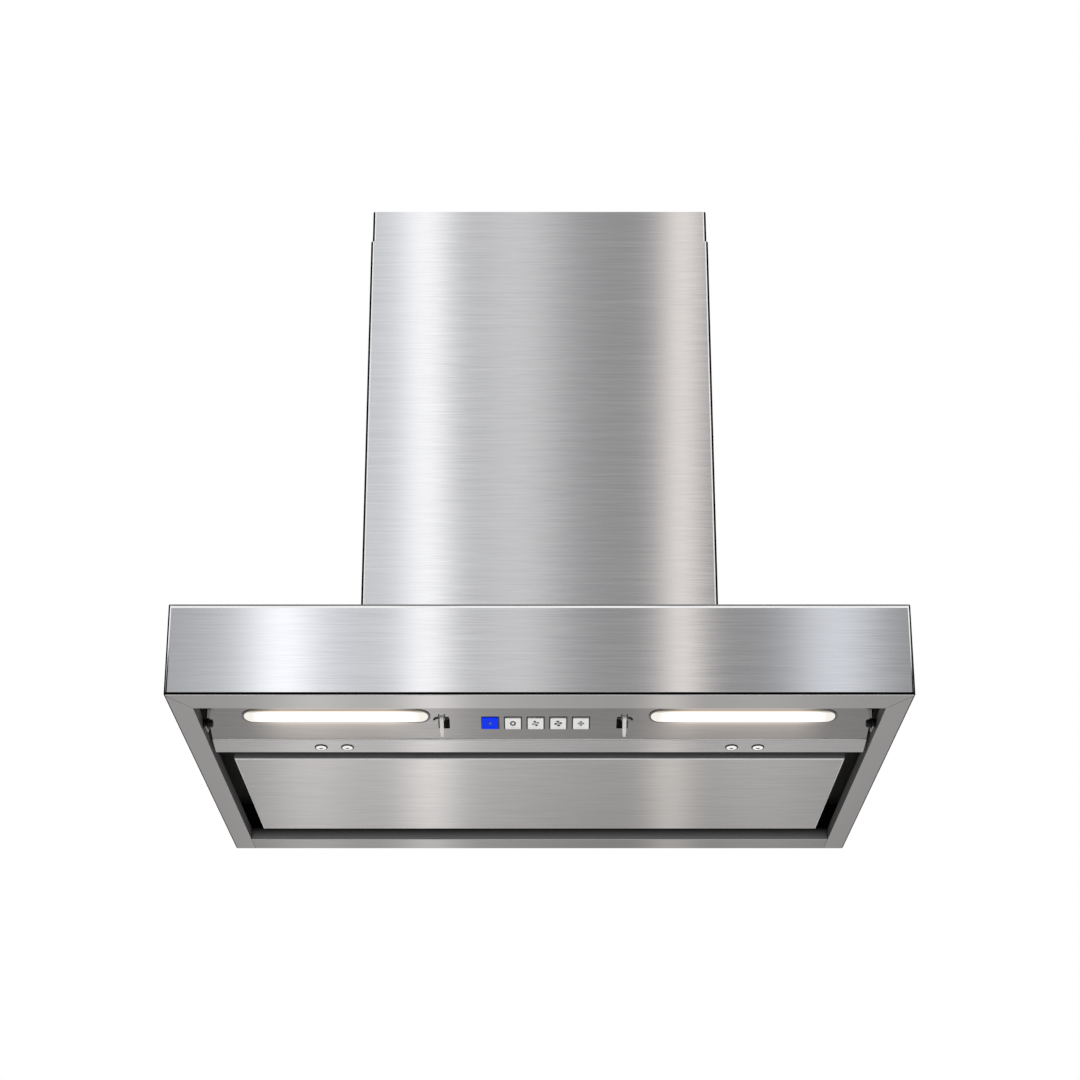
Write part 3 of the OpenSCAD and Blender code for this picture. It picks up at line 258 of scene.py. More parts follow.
@dataclass(frozen=True)
class BrushedStainless:
    """Stainless sheet brushed along the sheet with a fine belt, then folded.

    The belt leaves long level scratches. They spread light across the grain and hardly along
    it, so each softbox in front shows as an upright band, ragged where the scratches wander.
    """

    name: str
    colour: str = "#cfcecf"
    roughness: float = 0.105
    # The belt wears unevenly, by these shares, between these values of the broad noise
    wear: tuple[float, float] = (0.85, 1.2)
    wear_ends: tuple[float, float] = (0.25, 0.75)
    anisotropy: float = 1.0
    # A quarter turn, so that light spreads across the scratches
    anisotropy_turn: float = 0.25
    metallic: float = 1.0
    gloss: float = 0.5
    # Painted highlights beside the flat sheet, and painted dark reflections further round the bends
    painted_bend_highlight: str | None = None
    painted_bend_dark: str = "#070708"
    # Half width of the sheet's front face, whose upright bends get their painted highlight and dark by their
    # place
    half_width: float = 300 * MM
    front_y: float = -500 * MM
    bend_radius: float = 3.0 * MM
    dark_width: float = 1.6 * MM
    bright_width: float = 1.0 * MM
    bend_soft: float = 0.08 * MM
    # The front's lower bend is painted dark up to the first height, and the rims' outer bends up to the
    # second
    low_edge: float = 2.3 * MM
    rim_edge: float = 2.9 * MM
    # Faces that look further down than the first lie under the hood and keep none of the painted upright
    # bend lines; the front's lower painted bend counts only where it looks further ahead than the second
    upright_ends: tuple[float, float] = (-0.8, -0.7)
    ahead_ends: tuple[float, float] = (-0.5, -0.6)
    # How far down, and how far up, a level bend looks where it is painted dark
    below_ends: Ends = (0.04, 0.10, 0.78, 0.86)
    above_ends: Ends = (0.72, 0.80, 0.97, 0.99)
    # Height of the fold along the top of the front face, and how far below it its painted highlight and
    # painted dark line lie
    crest_z: float | None = None
    crest_painted_highlight: Ends = (1.8 * MM, 2.0 * MM, 3.4 * MM, 3.6 * MM)
    crest_painted_dark: Ends = (0.2 * MM, 0.5 * MM, 1.7 * MM, 1.9 * MM)
    crest_share: float = 0.7
    # A highlight is painted on the start of a bend beside a face that looks down
    painted_bend_glint: str | None = None
    lit_ends: Ends = (-0.998, -0.985, -0.6, -0.5)
    # Whether a warm glow from the lamps is painted on it, as emission
    painted_lamp_glow: bool = False
    # Faces that look less far down than this were turned up after brushing and are dull; on the rail their
    # tone is white, a painted highlight
    turned_from: float | None = None
    turned_soft: float = 0.2
    turned_tone_and_highlight: str = "#8f8e8e"
    # Deep in a gap these faces are painted dark, as painted shade
    painted_gap_shade: str = "#262626"
    lit_z: float = 1.5 * MM
    deep_z: float = 10.5 * MM
    # Half width, front, foot and top of the hollow whose walls keep the mill's dull grey
    hollow: tuple[float, float, float, float] | None = None
    mill_tone: str = "#4c4b4b"
    dull_roughness: float = 0.55
    dull_metallic: float = 0.25
    # Real scratches are 0.1 to 0.3 mm wide; they are drawn wider so that they show
    scratch_width: float = 0.7 * MM
    scratch_length: float = 36 * MM
    streak_width: float = 1.8 * MM
    streak_length: float = 260 * MM
    tone: float = 0.06
    wander: float = 0.0012
    # A sheet that looks further sideways than this is brushed front to back
    side_from: float = 0.71

    def material(self) -> Material:
        """Builds the finish.

        Returns:
            The material.
        """
        material, tree, shader = new_material(self.name)
        place = add_node(tree, "TexCoord")
        spot, normal = place.outputs["Object"], place.outputs["Normal"]
        sides = self._faces_sideways(tree, normal)
        fine = self._streaks(tree, spot, sides, self.scratch_length, self.scratch_width)
        broad = self._streaks(tree, spot, sides, self.streak_length, self.streak_width)
        along = self._grain_direction(tree, normal)

        smooth, dull = (self.roughness * share for share in self.wear)
        line, cloud, rough = (
            add_node(tree, "MapRange", {"Value": noise, 1: low, 2: high, 3: least, 4: most}).outputs[0]
            for noise, low, high, least, most in (
                (fine, NOISE_LOW, NOISE_HIGH, 1 - self.tone, 1 + self.tone),
                (broad, NOISE_LOW, NOISE_HIGH, 1 - self.tone / 2, 1 + self.tone / 2),
                (broad, *self.wear_ends, smooth, dull),
            )
        )
        shade = add_node(tree, "Math", {0: line, 1: cloud}, operation="MULTIPLY").outputs[0]
        flat = linear(self.colour)[:3]
        colour = add_node(tree, "VectorMath", {0: flat, "Scale": shade}, operation="SCALE").outputs[0]
        metallic, gloss = self.metallic, self.gloss
        for where, tone in self._dull_and_painted_places(tree, place):
            # A painted dark bend stands for the dim room beside the strips that it would mirror, so it keeps
            # no gloss of its own
            dark = tone == self.painted_bend_dark
            if dark:
                gloss = add_node(tree, "Mix", {0: where, 2: gloss, 3: 0.0}).outputs[0]
            flat = linear(tone)[:3]
            share = 0.0 if dark else self.dull_metallic
            colour = add_node(tree, "Mix", {0: where, 4: colour, 5: flat}, data_type="VECTOR").outputs[1]
            rough = add_node(tree, "Mix", {0: where, 2: rough, 3: self.dull_roughness}).outputs[0]
            metallic = add_node(tree, "Mix", {0: where, 2: metallic, 3: share}).outputs[0]

        set_inputs(tree, shader, {
            "Base Color": colour,
            "Roughness": rough,
            "Metallic": metallic,
            "Specular IOR Level": gloss,
            "Anisotropic": self.anisotropy,
            "Anisotropic Rotation": self.anisotropy_turn,
            "Tangent": along,
            "Normal": self._leaned_normal(tree, fine, along),
        })
        # The lamps' warm glow is painted on as emission
        if self.painted_lamp_glow:
            PAINTED_LAMP_GLOW.add_to(tree, spot, shader)
        return material

    def _leaned_normal(self, tree: Tree, fine: Socket, along: Socket) -> Socket:
        """Leans the face a little along the grain, by the scratch that runs there.

        Args:
            tree: The material's tree.
            fine: The scratches, from 0 to 1.
            along: The way they run.

        Returns:
            The leaned normal.
        """
        lean = add_node(tree, "Math", {0: fine, 1: -0.5}, operation="ADD").outputs[0]
        lean = add_node(tree, "Math", {0: lean, 1: 2 * self.wander}, operation="MULTIPLY").outputs[0]
        shift = add_node(tree, "VectorMath", {0: along, "Scale": lean}, operation="SCALE").outputs[0]
        straight = add_node(tree, "NewGeometry").outputs["Normal"]
        leaned = add_node(tree, "VectorMath", {0: straight, 1: shift}, operation="ADD").outputs[0]
        return add_node(tree, "VectorMath", {0: leaned}, operation="NORMALIZE").outputs[0]

    def _dull_and_painted_places(self, tree: Tree, place: Node) -> list[tuple[Socket, str]]:
        """Finds where the belt didn't reach, and where highlights, dark reflections and shade are painted.

        Args:
            tree: The material's tree.
            place: The texture coordinates.

        Returns:
            A mask and a colour for each sort of place. Each is drawn over those before it.
        """
        places = []
        down = add_node(tree, "SeparateXYZ", {0: place.outputs["Normal"]}).outputs["Z"]
        if self.hollow:
            places.append((self._in_hollow(tree, place.outputs["Object"]), self.mill_tone))
        if self.turned_from is not None:
            ends = {"Value": down, 1: self.turned_from, 2: self.turned_from + self.turned_soft}
            turned = add_node(tree, "MapRange", ends).outputs[0]
            places.append((turned, self.turned_tone_and_highlight))
            # Painted shade: the turned faces darken with height, deep in a gap
            height = add_node(tree, "SeparateXYZ", {0: place.outputs["Object"]}).outputs["Z"]
            deep = add_node(tree, "MapRange", {"Value": height, 1: self.lit_z, 2: self.deep_z}).outputs[0]
            deep = add_node(tree, "Math", {0: deep, 1: turned}, operation="MULTIPLY").outputs[0]
            places.append((deep, self.painted_gap_shade))
        # Painted highlights and painted dark reflections on the bends
        if self.painted_bend_glint:
            places.append((between(tree, down, self.lit_ends), self.painted_bend_glint))
        if self.painted_bend_highlight:
            places += self._bends(tree, place)
        return places

    def _bends(self, tree: Tree, place: Node) -> list[tuple[Socket, str]]:
        """Finds where highlights and dark reflections are painted on the bends round the front face.

        Args:
            tree: The material's tree.
            place: The texture coordinates.

        Returns:
            A mask and a colour for each part, the painted highlights first.
        """
        turn = add_node(tree, "SeparateXYZ", {0: place.outputs["Normal"]}).outputs
        spot = add_node(tree, "SeparateXYZ", {0: place.outputs["Object"]}).outputs
        behind = self.front_y + self.bend_radius
        in_front = add_node(tree, "Math", {0: spot["Y"], 1: behind}, operation="LESS_THAN").outputs[0]
        upright, ahead = (
            add_node(tree, "MapRange", {"Value": turn[axis], 1: ends[0], 2: ends[1]}).outputs[0]
            for axis, ends in (("Z", self.upright_ends), ("Y", self.ahead_ends))
        )
        shown = add_node(tree, "Math", {0: in_front, 1: upright}, operation="MULTIPLY").outputs[0]
        out = add_node(tree, "Math", {0: spot["X"]}, operation="ABSOLUTE").outputs[0]
        inset = add_node(tree, "Math", {0: self.half_width, 1: out}, operation="SUBTRACT").outputs[0]
        down = add_node(tree, "Math", {0: turn["Z"], 1: -1.0}, operation="MULTIPLY").outputs[0]
        dark, bright, soft = self.dark_width, self.dark_width + self.bright_width, self.bend_soft
        foot = {"Value": spot["Z"], 1: self.low_edge + soft, 2: self.low_edge - soft}
        low = add_node(tree, "MapRange", foot).outputs[0]
        rim = add_node(tree, "Math", {0: spot["Z"], 1: self.rim_edge}, operation="LESS_THAN").outputs[0]

        # Each part shows where both of its masks do
        painted_highlights = [(between(tree, inset, (dark - soft, dark + soft, bright - soft, bright + soft)), shown)]
        painted_darks = [
            (between(tree, inset, (-2 * soft, -soft, dark - soft, dark + soft)), shown),
            (between(tree, down, self.below_ends), 1.0),
            (low, ahead),
            (between(tree, turn["Z"], self.above_ends), 1.0),
            (between(tree, inset, (-2 * soft, -soft, dark - 3 * soft, dark - soft)), rim),
        ]
        if self.crest_z is not None:
            drop = add_node(tree, "Math", {0: self.crest_z, 1: spot["Z"]}, operation="SUBTRACT").outputs[0]
            weak = add_node(tree, "Math", {0: shown, 1: self.crest_share}, operation="MULTIPLY").outputs[0]
            painted_highlights.append((between(tree, drop, self.crest_painted_highlight), shown))
            painted_darks.append((between(tree, drop, self.crest_painted_dark), weak))
        parts = [(pair, self.painted_bend_highlight) for pair in painted_highlights] + [(pair, self.painted_bend_dark) for pair in painted_darks]
        return [
            (add_node(tree, "Math", {0: mask, 1: share}, operation="MULTIPLY").outputs[0], tone)
            for (mask, share), tone in parts
        ]

    def _in_hollow(self, tree: Tree, place: Socket) -> Socket:
        """Finds every wall that faces the hollow inside the canopy.

        Args:
            tree: The material's tree.
            place: Object coordinates, in metres.

        Returns:
            1 on those walls and 0 elsewhere.
        """
        half, front, low, high = self.hollow
        spot = add_node(tree, "SeparateXYZ", {0: place}).outputs
        out = add_node(tree, "Math", {0: spot["X"]}, operation="ABSOLUTE").outputs[0]
        within = 1.0
        for value, limit, test in (
            (out, half, "LESS_THAN"),
            (spot["Y"], front, "GREATER_THAN"),
            (spot["Z"], low, "GREATER_THAN"),
            (spot["Z"], high, "LESS_THAN"),
        ):
            inside = add_node(tree, "Math", {0: value, 1: limit}, operation=test).outputs[0]
            within = add_node(tree, "Math", {0: within, 1: inside}, operation="MULTIPLY").outputs[0]
        return within

    def _faces_sideways(self, tree: Tree, normal: Socket) -> Socket:
        """Finds sheets that face left or right, where the grain runs front to back.

        Args:
            tree: The material's tree.
            normal: The normal, in object space.

        Returns:
            1 on those sheets and 0 elsewhere.
        """
        sideways = add_node(tree, "SeparateXYZ", {0: normal}).outputs["X"]
        size = add_node(tree, "Math", {0: sideways}, operation="ABSOLUTE").outputs[0]
        return add_node(tree, "Math", {0: size, 1: self.side_from}, operation="GREATER_THAN").outputs[0]

    def _streaks(self, tree: Tree, place: Socket, sides: Socket, length: float, width: float) -> Socket:
        """Noise drawn out along the grain.

        Args:
            tree: The material's tree.
            place: Object coordinates, in metres.
            sides: 1 where the grain runs front to back.
            length: Length of a streak.
            width: Width of a streak.

        Returns:
            The noise, from 0 to 1.
        """
        level = (1 / length, 1 / width, 1 / width)
        deep = (1 / width, 1 / length, 1 / width)
        level, deep = (
            add_node(tree, "VectorMath", {0: place, 1: scale}, operation="MULTIPLY").outputs[0]
            for scale in (level, deep)
        )
        way = add_node(tree, "Mix", {0: sides, 4: level, 5: deep}, data_type="VECTOR").outputs[1]
        noise = {"Vector": way, "Scale": 1.0, "Detail": 3.0, "Roughness": 0.6}
        return add_node(tree, "TexNoise", noise).outputs[0]

    def _grain_direction(self, tree: Tree, normal: Socket) -> Socket:
        """Finds the way the scratches run: level on every upright sheet, and along X on flat ones.

        Args:
            tree: The material's tree.
            normal: The normal, in object space.

        Returns:
            The direction, in world space.
        """
        # Tipped a little, so that flat sheets have a direction too
        upright = (0.0, 0.02, 1.0)
        grain = add_node(tree, "VectorMath", {0: normal, 1: upright}, operation="CROSS_PRODUCT").outputs[0]
        ways = {"vector_type": "VECTOR", "convert_from": "OBJECT", "convert_to": "WORLD"}
        world = add_node(tree, "VectorTransform", {0: grain}, **ways).outputs[0]
        return add_node(tree, "VectorMath", {0: world}, operation="NORMALIZE").outputs[0]


@dataclass(frozen=True)
class GalvanisedSheet:
    """Hot-dip galvanised sheet. Its zinc freezes in flat crystals that each shine differently."""

    name: str = "galvanised sheet"
    colour: str = "#b4b8bc"
    spangle: float = 9 * MM
    shades: tuple[float, float] = (0.82, 1.08)
    roughness: tuple[float, float] = (0.30, 0.48)

    def material(self) -> Material:
        """Builds the finish.

        Returns:
            The material.
        """
        material, tree, shader = new_material(self.name)
        place = add_node(tree, "TexCoord").outputs["Object"]
        cells = add_node(tree, "TexVoronoi", {"Vector": place, "Scale": 1 / self.spangle})
        value = add_node(tree, "SeparateColor", {0: cells.outputs["Color"]}).outputs[0]
        shade, rough = (
            add_node(tree, "MapRange", {"Value": value, 3: dim, 4: bright}).outputs[0]
            for dim, bright in (self.shades, self.roughness)
        )
        zinc = linear(self.colour)[:3]
        colour = add_node(tree, "VectorMath", {0: zinc, "Scale": shade}, operation="SCALE").outputs[0]
        set_inputs(tree, shader, {"Base Color": colour, "Roughness": rough, "Metallic": 1.0})
        return material


@dataclass(frozen=True)
class PlatedSteel:
    """Small steel pieces, turned or pressed and then plated or blackened, with fine handling marks."""

    name: str
    colour: str
    roughness: float = 0.25
    metallic: float = 1.0
    # Whether a warm glow from the lamps is painted on it, as emission
    painted_lamp_glow: bool = False
    mark: float = 1.5 * MM
    wear: tuple[float, float] = (0.7, 1.4)
    shades: tuple[float, float] = (0.88, 1.1)

    def material(self) -> Material:
        """Builds the finish.

        Returns:
            The material.
        """
        material, tree, shader = new_material(self.name)
        place = add_node(tree, "TexCoord").outputs["Object"]
        marks = {"Vector": place, "Scale": 1 / self.mark, "Detail": 4.0}
        noise = add_node(tree, "TexNoise", marks).outputs[0]
        smooth, dull = (self.roughness * share for share in self.wear)
        rough = add_node(tree, "MapRange", {"Value": noise, 3: smooth, 4: dull}).outputs[0]
        shade = add_node(tree, "MapRange", {"Value": noise, 3: self.shades[0], 4: self.shades[1]}).outputs[0]
        steel = linear(self.colour)[:3]
        colour = add_node(tree, "VectorMath", {0: steel, "Scale": shade}, operation="SCALE").outputs[0]
        set_inputs(tree, shader, {"Base Color": colour, "Roughness": rough, "Metallic": self.metallic})
        # The lamps' warm glow is painted on as emission
        if self.painted_lamp_glow:
            PAINTED_LAMP_GLOW.add_to(tree, place, shader)
        return material


@dataclass(frozen=True)
class MouldedPlastic:
    """Injection-moulded ABS, nylon or polypropylene. A spark-eroded mould leaves a fine even grain."""

    name: str
    colour: str
    roughness: float = 0.4
    grain: float = 0.7 * MM
    relief: float = 0.08
    depth: float = 0.1 * MM
    wear: tuple[float, float] = (0.85, 1.2)
    # Where the melt flowed, the colour clouds a little
    cloud: float = 40 * MM
    shades: tuple[float, float] = (0.94, 1.05)
    specular: float = 0.5
    glow: str | None = None
    glow_strength: float = 0.0

    def material(self) -> Material:
        """Builds the finish.

        Returns:
            The material.
        """
        material, tree, shader = new_material(self.name)
        place = add_node(tree, "TexCoord").outputs["Object"]
        sparks, flow = (
            add_node(tree, "TexNoise", {"Vector": place, "Scale": 1 / size, "Detail": 2.0}).outputs[0]
            for size in (self.grain, self.cloud)
        )
        bump = add_node(tree, "Bump", {"Height": sparks, "Strength": self.relief, "Distance": self.depth})
        clouds = {"Value": flow, 1: NOISE_LOW, 2: NOISE_HIGH, 3: self.shades[0], 4: self.shades[1]}
        shade = add_node(tree, "MapRange", clouds).outputs[0]
        smooth, dull = (self.roughness * share for share in self.wear)
        flat = linear(self.colour)[:3]
        colour = add_node(tree, "VectorMath", {0: flat, "Scale": shade}, operation="SCALE").outputs[0]
        set_inputs(tree, shader, {
            "Base Color": colour,
            "Roughness": add_node(tree, "MapRange", {"Value": sparks, 3: smooth, 4: dull}).outputs[0],
            "Normal": bump.outputs[0],
            "Specular IOR Level": self.specular,
        })
        if self.glow:
            set_inputs(tree, shader, {
                "Emission Color": linear(self.glow), "Emission Strength": self.glow_strength,
            })
        return material


@dataclass(frozen=True)
class LitDiffuser:
    """Frosted acrylic in front of a strip of diodes: even in the middle, weaker at its ends."""

    name: str = "frosted acrylic, lit"
    colour: str = "#5c5a56"
    roughness: float = 0.3
    glow: str = "#fffaf4"
    edge_glow: str = "#fff0df"
    even_half: float = 56 * MM
    fade: float = 16 * MM
    edge_from: float = 6.6 * MM
    edge_to: float = 8.6 * MM
    middle_strength: float = 1.7
    end_strength: float = 0.80
    edge_share: float = 0.62
    ripple: float = 7 * MM
    relief: float = 0.12
    depth: float = 0.3 * MM

    def material(self) -> Material:
        """Builds the finish.

        Returns:
            The material.
        """
        material, tree, shader = new_material(self.name)
        place = add_node(tree, "TexCoord").outputs["Object"]
        spot = add_node(tree, "SeparateXYZ", {0: place}).outputs
        out = add_node(tree, "Math", {0: spot["X"]}, operation="ABSOLUTE").outputs[0]
        along = distance_from(tree, out, LAMP_X)
        across = distance_from(tree, spot["Y"], LAMP_Y)
        ends = {
            "Value": along,
            1: self.even_half,
            2: self.even_half + self.fade,
            3: self.middle_strength,
            4: self.end_strength,
        }
        level = add_node(tree, "MapRange", ends, interpolation_type="SMOOTHSTEP").outputs[0]
        edge = add_node(tree, "MapRange", {"Value": across, 1: self.edge_from, 2: self.edge_to}).outputs[0]
        share = add_node(tree, "MapRange", {"Value": edge, 3: 1.0, 4: self.edge_share}).outputs[0]
        strength = add_node(tree, "Math", {0: level, 1: share}, operation="MULTIPLY").outputs[0]
        glows = {0: edge, 4: linear(self.glow)[:3], 5: linear(self.edge_glow)[:3]}
        waves = {"Vector": place, "Scale": 1 / self.ripple, "Detail": 1.0}
        ripple = add_node(tree, "TexNoise", waves).outputs[0]
        bump = add_node(tree, "Bump", {"Height": ripple, "Strength": self.relief, "Distance": self.depth})
        set_inputs(tree, shader, {
            "Base Color": linear(self.colour),
            "Roughness": self.roughness,
            "Normal": bump.outputs[0],
            "Emission Color": add_node(tree, "Mix", glows, data_type="VECTOR").outputs[1],
            "Emission Strength": strength,
        })
        return material


@dataclass(frozen=True)
class CircuitBoard:
    """Glass-fibre board under green solder mask, with the copper tracks showing as paler lines."""

    name: str = "circuit board, green mask"
    colour: str = "#1d5b36"
    track: str = "#2f7d4c"
    pitch: float = 3 * MM
    # Width of a track, as a share of the pitch
    track_share: float = 0.05
    roughness: float = 0.35

    def material(self) -> Material:
        """Builds the finish.

        Returns:
            The material.
        """
        material, tree, shader = new_material(self.name)
        mask = linear(self.colour)
        bricks = add_node(tree, "TexBrick", {
            "Vector": add_node(tree, "TexCoord").outputs["Object"],
            "Color1": mask,
            "Color2": mask,
            "Mortar": linear(self.track),
            "Scale": 1 / self.pitch,
            "Mortar Size": self.track_share,
        })
        set_inputs(tree, shader, {"Base Color": bricks.outputs["Color"], "Roughness": self.roughness})
        return material


@dataclass(frozen=True)
class CastAluminium:
    """Die-cast aluminium with the skin that the die leaves."""

    name: str = "die-cast aluminium"
    colour: str = "#b3b5b6"
    skin: float = 1.2 * MM
    relief: float = 0.25
    depth: float = 0.1 * MM
    roughness: tuple[float, float] = (0.38, 0.6)

    def material(self) -> Material:
        """Builds the finish.

        Returns:
            The material.
        """
        material, tree, shader = new_material(self.name)
        place = add_node(tree, "TexCoord").outputs["Object"]
        grains = {"Vector": place, "Scale": 1 / self.skin, "Detail": 5.0}
        noise = add_node(tree, "TexNoise", grains).outputs[0]
        bump = add_node(tree, "Bump", {"Height": noise, "Strength": self.relief, "Distance": self.depth})
        smooth, dull = self.roughness
        set_inputs(tree, shader, {
            "Base Color": linear(self.colour),
            "Roughness": add_node(tree, "MapRange", {"Value": noise, 3: smooth, 4: dull}).outputs[0],
            "Metallic": 1.0,
            "Normal": bump.outputs[0],
        })
        return material


class Finishes:
    """The finishes of the hood by name, each made when it is first asked for."""

    RECIPES = {
        # Sheets with upright bands of light and level scratches, and folds with a painted highlight and then
        # a painted dark line
        "canopy_stainless": BrushedStainless(
            "brushed stainless, mill finish inside", painted_bend_highlight="#ffffff", painted_bend_glint="#f4f4f4",
            crest_z=77 * MM, hollow=(299.4 * MM, -499.4 * MM, 0.6 * MM, 76.5 * MM),
        ),
        "chimney_stainless": BrushedStainless(
            "brushed stainless, chimney", painted_bend_highlight="#ffffff", half_width=162.5 * MM,
            front_y=-270 * MM, dark_width=2.0 * MM,
        ),
        "upper_stainless": BrushedStainless(
            "brushed stainless, upper chimney", painted_bend_highlight="#ffffff", half_width=161.2 * MM,
            front_y=-268.7 * MM, dark_width=2.0 * MM,
        ),
        # Sheets that look down, the panel paler and the rear rim greyer, with dull edges turned up into gaps
        # where shade is painted; the rail's turned-up lip is painted white as a highlight
        "panel_stainless": BrushedStainless(
            "brushed stainless, edges turned up", colour="#d9d8d8", turned_from=-0.6,
            painted_bend_glint="#f4f4f4", tone=0.10, scratch_width=1.2 * MM,
        ),
        "back_stainless": BrushedStainless(
            "brushed stainless, rear rim", colour="#b8b7b7", turned_from=-0.6,
            painted_bend_glint="#e8e8e8", tone=0.10, scratch_width=1.2 * MM,
        ),
        "rail_stainless": BrushedStainless(
            "brushed stainless, lip turned up", turned_from=-0.6, turned_tone_and_highlight="#ffffff",
            deep_z=90 * MM, dull_metallic=0.0, metallic=0.88, tone=0.08, scratch_width=1.2 * MM,
        ),
        # A darker sheet, with the lamps' warm glow painted on it as emission
        "plate_stainless": BrushedStainless(
            "brushed stainless, lamp plate", colour="#a9a8a8", tone=0.08, painted_lamp_glow=True,
            scratch_width=1.0 * MM, wander=0.0002,
        ),
        # Soft grey sheets without a mirror image, and crystals of zinc
        "mill_stainless": PlatedSteel("stainless, mill finish", "#565554", roughness=0.55, metallic=0.3),
        "filter_steel": BrushedStainless(
            "satin stainless, rolled", colour="#b8b8b8", roughness=0.3, anisotropy=0.6, tone=0.04
        ),
        "galvanised_sheet": GalvanisedSheet(),
        # Small metal pieces, bright or nearly black, with short soft glints
        "zinc_hardware": PlatedSteel("zinc-plated steel", "#c9cbcc"),
        "cast_aluminium": CastAluminium(),
        "black_screws": PlatedSteel("steel, black oxide", "#3a3a3c", roughness=0.3, metallic=0.8),
        "wire_pin": PlatedSteel("steel wire, dark", "#4a4a4c", roughness=0.45, metallic=0.4),
        "latch_stainless": PlatedSteel("stainless, satin", "#8c8b89", roughness=0.5, metallic=0.4),
        # The bezels also carry the lamps' painted glow
        "lamp_bezel_grey": PlatedSteel(
            "painted steel, grey", "#7d7c7a", roughness=0.35, metallic=0.6, painted_lamp_glow=True
        ),
        # Plastics with a faint grain; the washers are the whitest thing under the hood, and they and the
        # screw heads carry a faint painted glow
        "latch_plastic": MouldedPlastic("nylon, light grey", "#e6e4e0", roughness=0.32),
        "black_plastic": MouldedPlastic("polypropylene, black", "#1f2023"),
        "washer_white": MouldedPlastic(
            "nylon, white", "#ffffff", roughness=0.35, glow="#ffffff", glow_strength=0.10
        ),
        "scroll_plastic": MouldedPlastic("polypropylene, dark grey", "#34363a", roughness=0.45),
        "white_plastic": MouldedPlastic("ABS, white", "#eceae4", roughness=0.3),
        "frosted_lens": LitDiffuser(),
        "circuit_board": CircuitBoard(),
        # The power key glows deep blue round a pale light; the others are white with grey print
        "button_blue": MouldedPlastic(
            "ABS, lit blue", "#00041c", roughness=0.5, specular=0.06, glow="#0434f6", glow_strength=0.95
        ),
        "button_white": MouldedPlastic("ABS, gloss white", "#fafaf9", roughness=0.3),
        "print_dark": MouldedPlastic("pad-printed ink, grey", "#4a4a4c", roughness=0.5),
        "print_blue": MouldedPlastic(
            "pad-printed ink, navy", "#000830", roughness=0.5, glow="#0222a8", glow_strength=0.8
        ),
        "pilot_light": MouldedPlastic(
            "light guide, pale blue", "#0a1850", roughness=0.4, glow="#3f74ff", glow_strength=0.9
        ),
    }

    def __init__(self) -> None:
        """Starts with nothing made."""
        self._made: dict[str, Material] = {}

    def get(self, name: str) -> Material:
        """Finds a finish, or makes it.

        Args:
            name: The finish's name.

        Returns:
            Its material.
        """
        if name not in self._made:
            self._made[name] = self.RECIPES[name].material()
        return self._made[name]


FINISHES = Finishes()


def dress(piece: Piece, finish: str) -> None:
    """Gives every face of a piece one finish."""
    piece.data.materials.clear()
    piece.data.materials.append(FINISHES.get(finish))


def deselect_all() -> None:
    """Leaves edit mode and selects nothing."""
    if bpy.context.object and bpy.context.object.mode != "OBJECT":
        bpy.ops.object.mode_set(mode="OBJECT")
    bpy.ops.object.select_all(action="DESELECT")


def select_only(piece: Piece) -> None:
    """Selects one piece and makes it the active one.

    Args:
        piece: The piece.
    """
    deselect_all()
    piece.select_set(True)
    bpy.context.view_layer.objects.active = piece


def apply_all(piece: Piece) -> None:
    """Applies a piece's place and modifiers, so that its object sits at the origin.

    Args:
        piece: The piece.
    """
    select_only(piece)
    for modifier in list(piece.modifiers):
        bpy.ops.object.modifier_apply(modifier=modifier.name)
    bpy.ops.object.transform_apply(location=True, rotation=True, scale=True)


def finish_piece(
    piece: Piece, name: str, body: str, finish: str, smooth_deg: float = 35
) -> Piece:
    """Names, shades, dresses and mounts a finished piece.

    Args:
        piece: The piece, still with its own place and modifiers.
        name: Its name.
        body: The body that it rides on.
        finish: The finish it wears.
        smooth_deg: Edges flatter than this are shaded smooth.

    Returns:
        The same piece.
    """
    apply_all(piece)
    piece.name = name
    piece.data.name = name
    bpy.ops.object.shade_smooth_by_angle(angle=math.radians(smooth_deg))
    flats = piece.modifiers.new("flats", "WEIGHTED_NORMAL")
    flats.keep_sharp = True
    bpy.ops.object.modifier_apply(modifier=flats.name)
    dress(piece, finish)
    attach(piece, body)
    LOG.info("made %s on %s", name, body)
    return piece


def node_body(node: str) -> str:
    """The body that a CAD node belongs to."""
    return frame["nodes"][node]["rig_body"]


def node_slot(node: str) -> str:
    """The record's material slot of a CAD node."""
    return next(s["material_slot"] for s in frame["record"]["subparts"] if s["node"] == node)


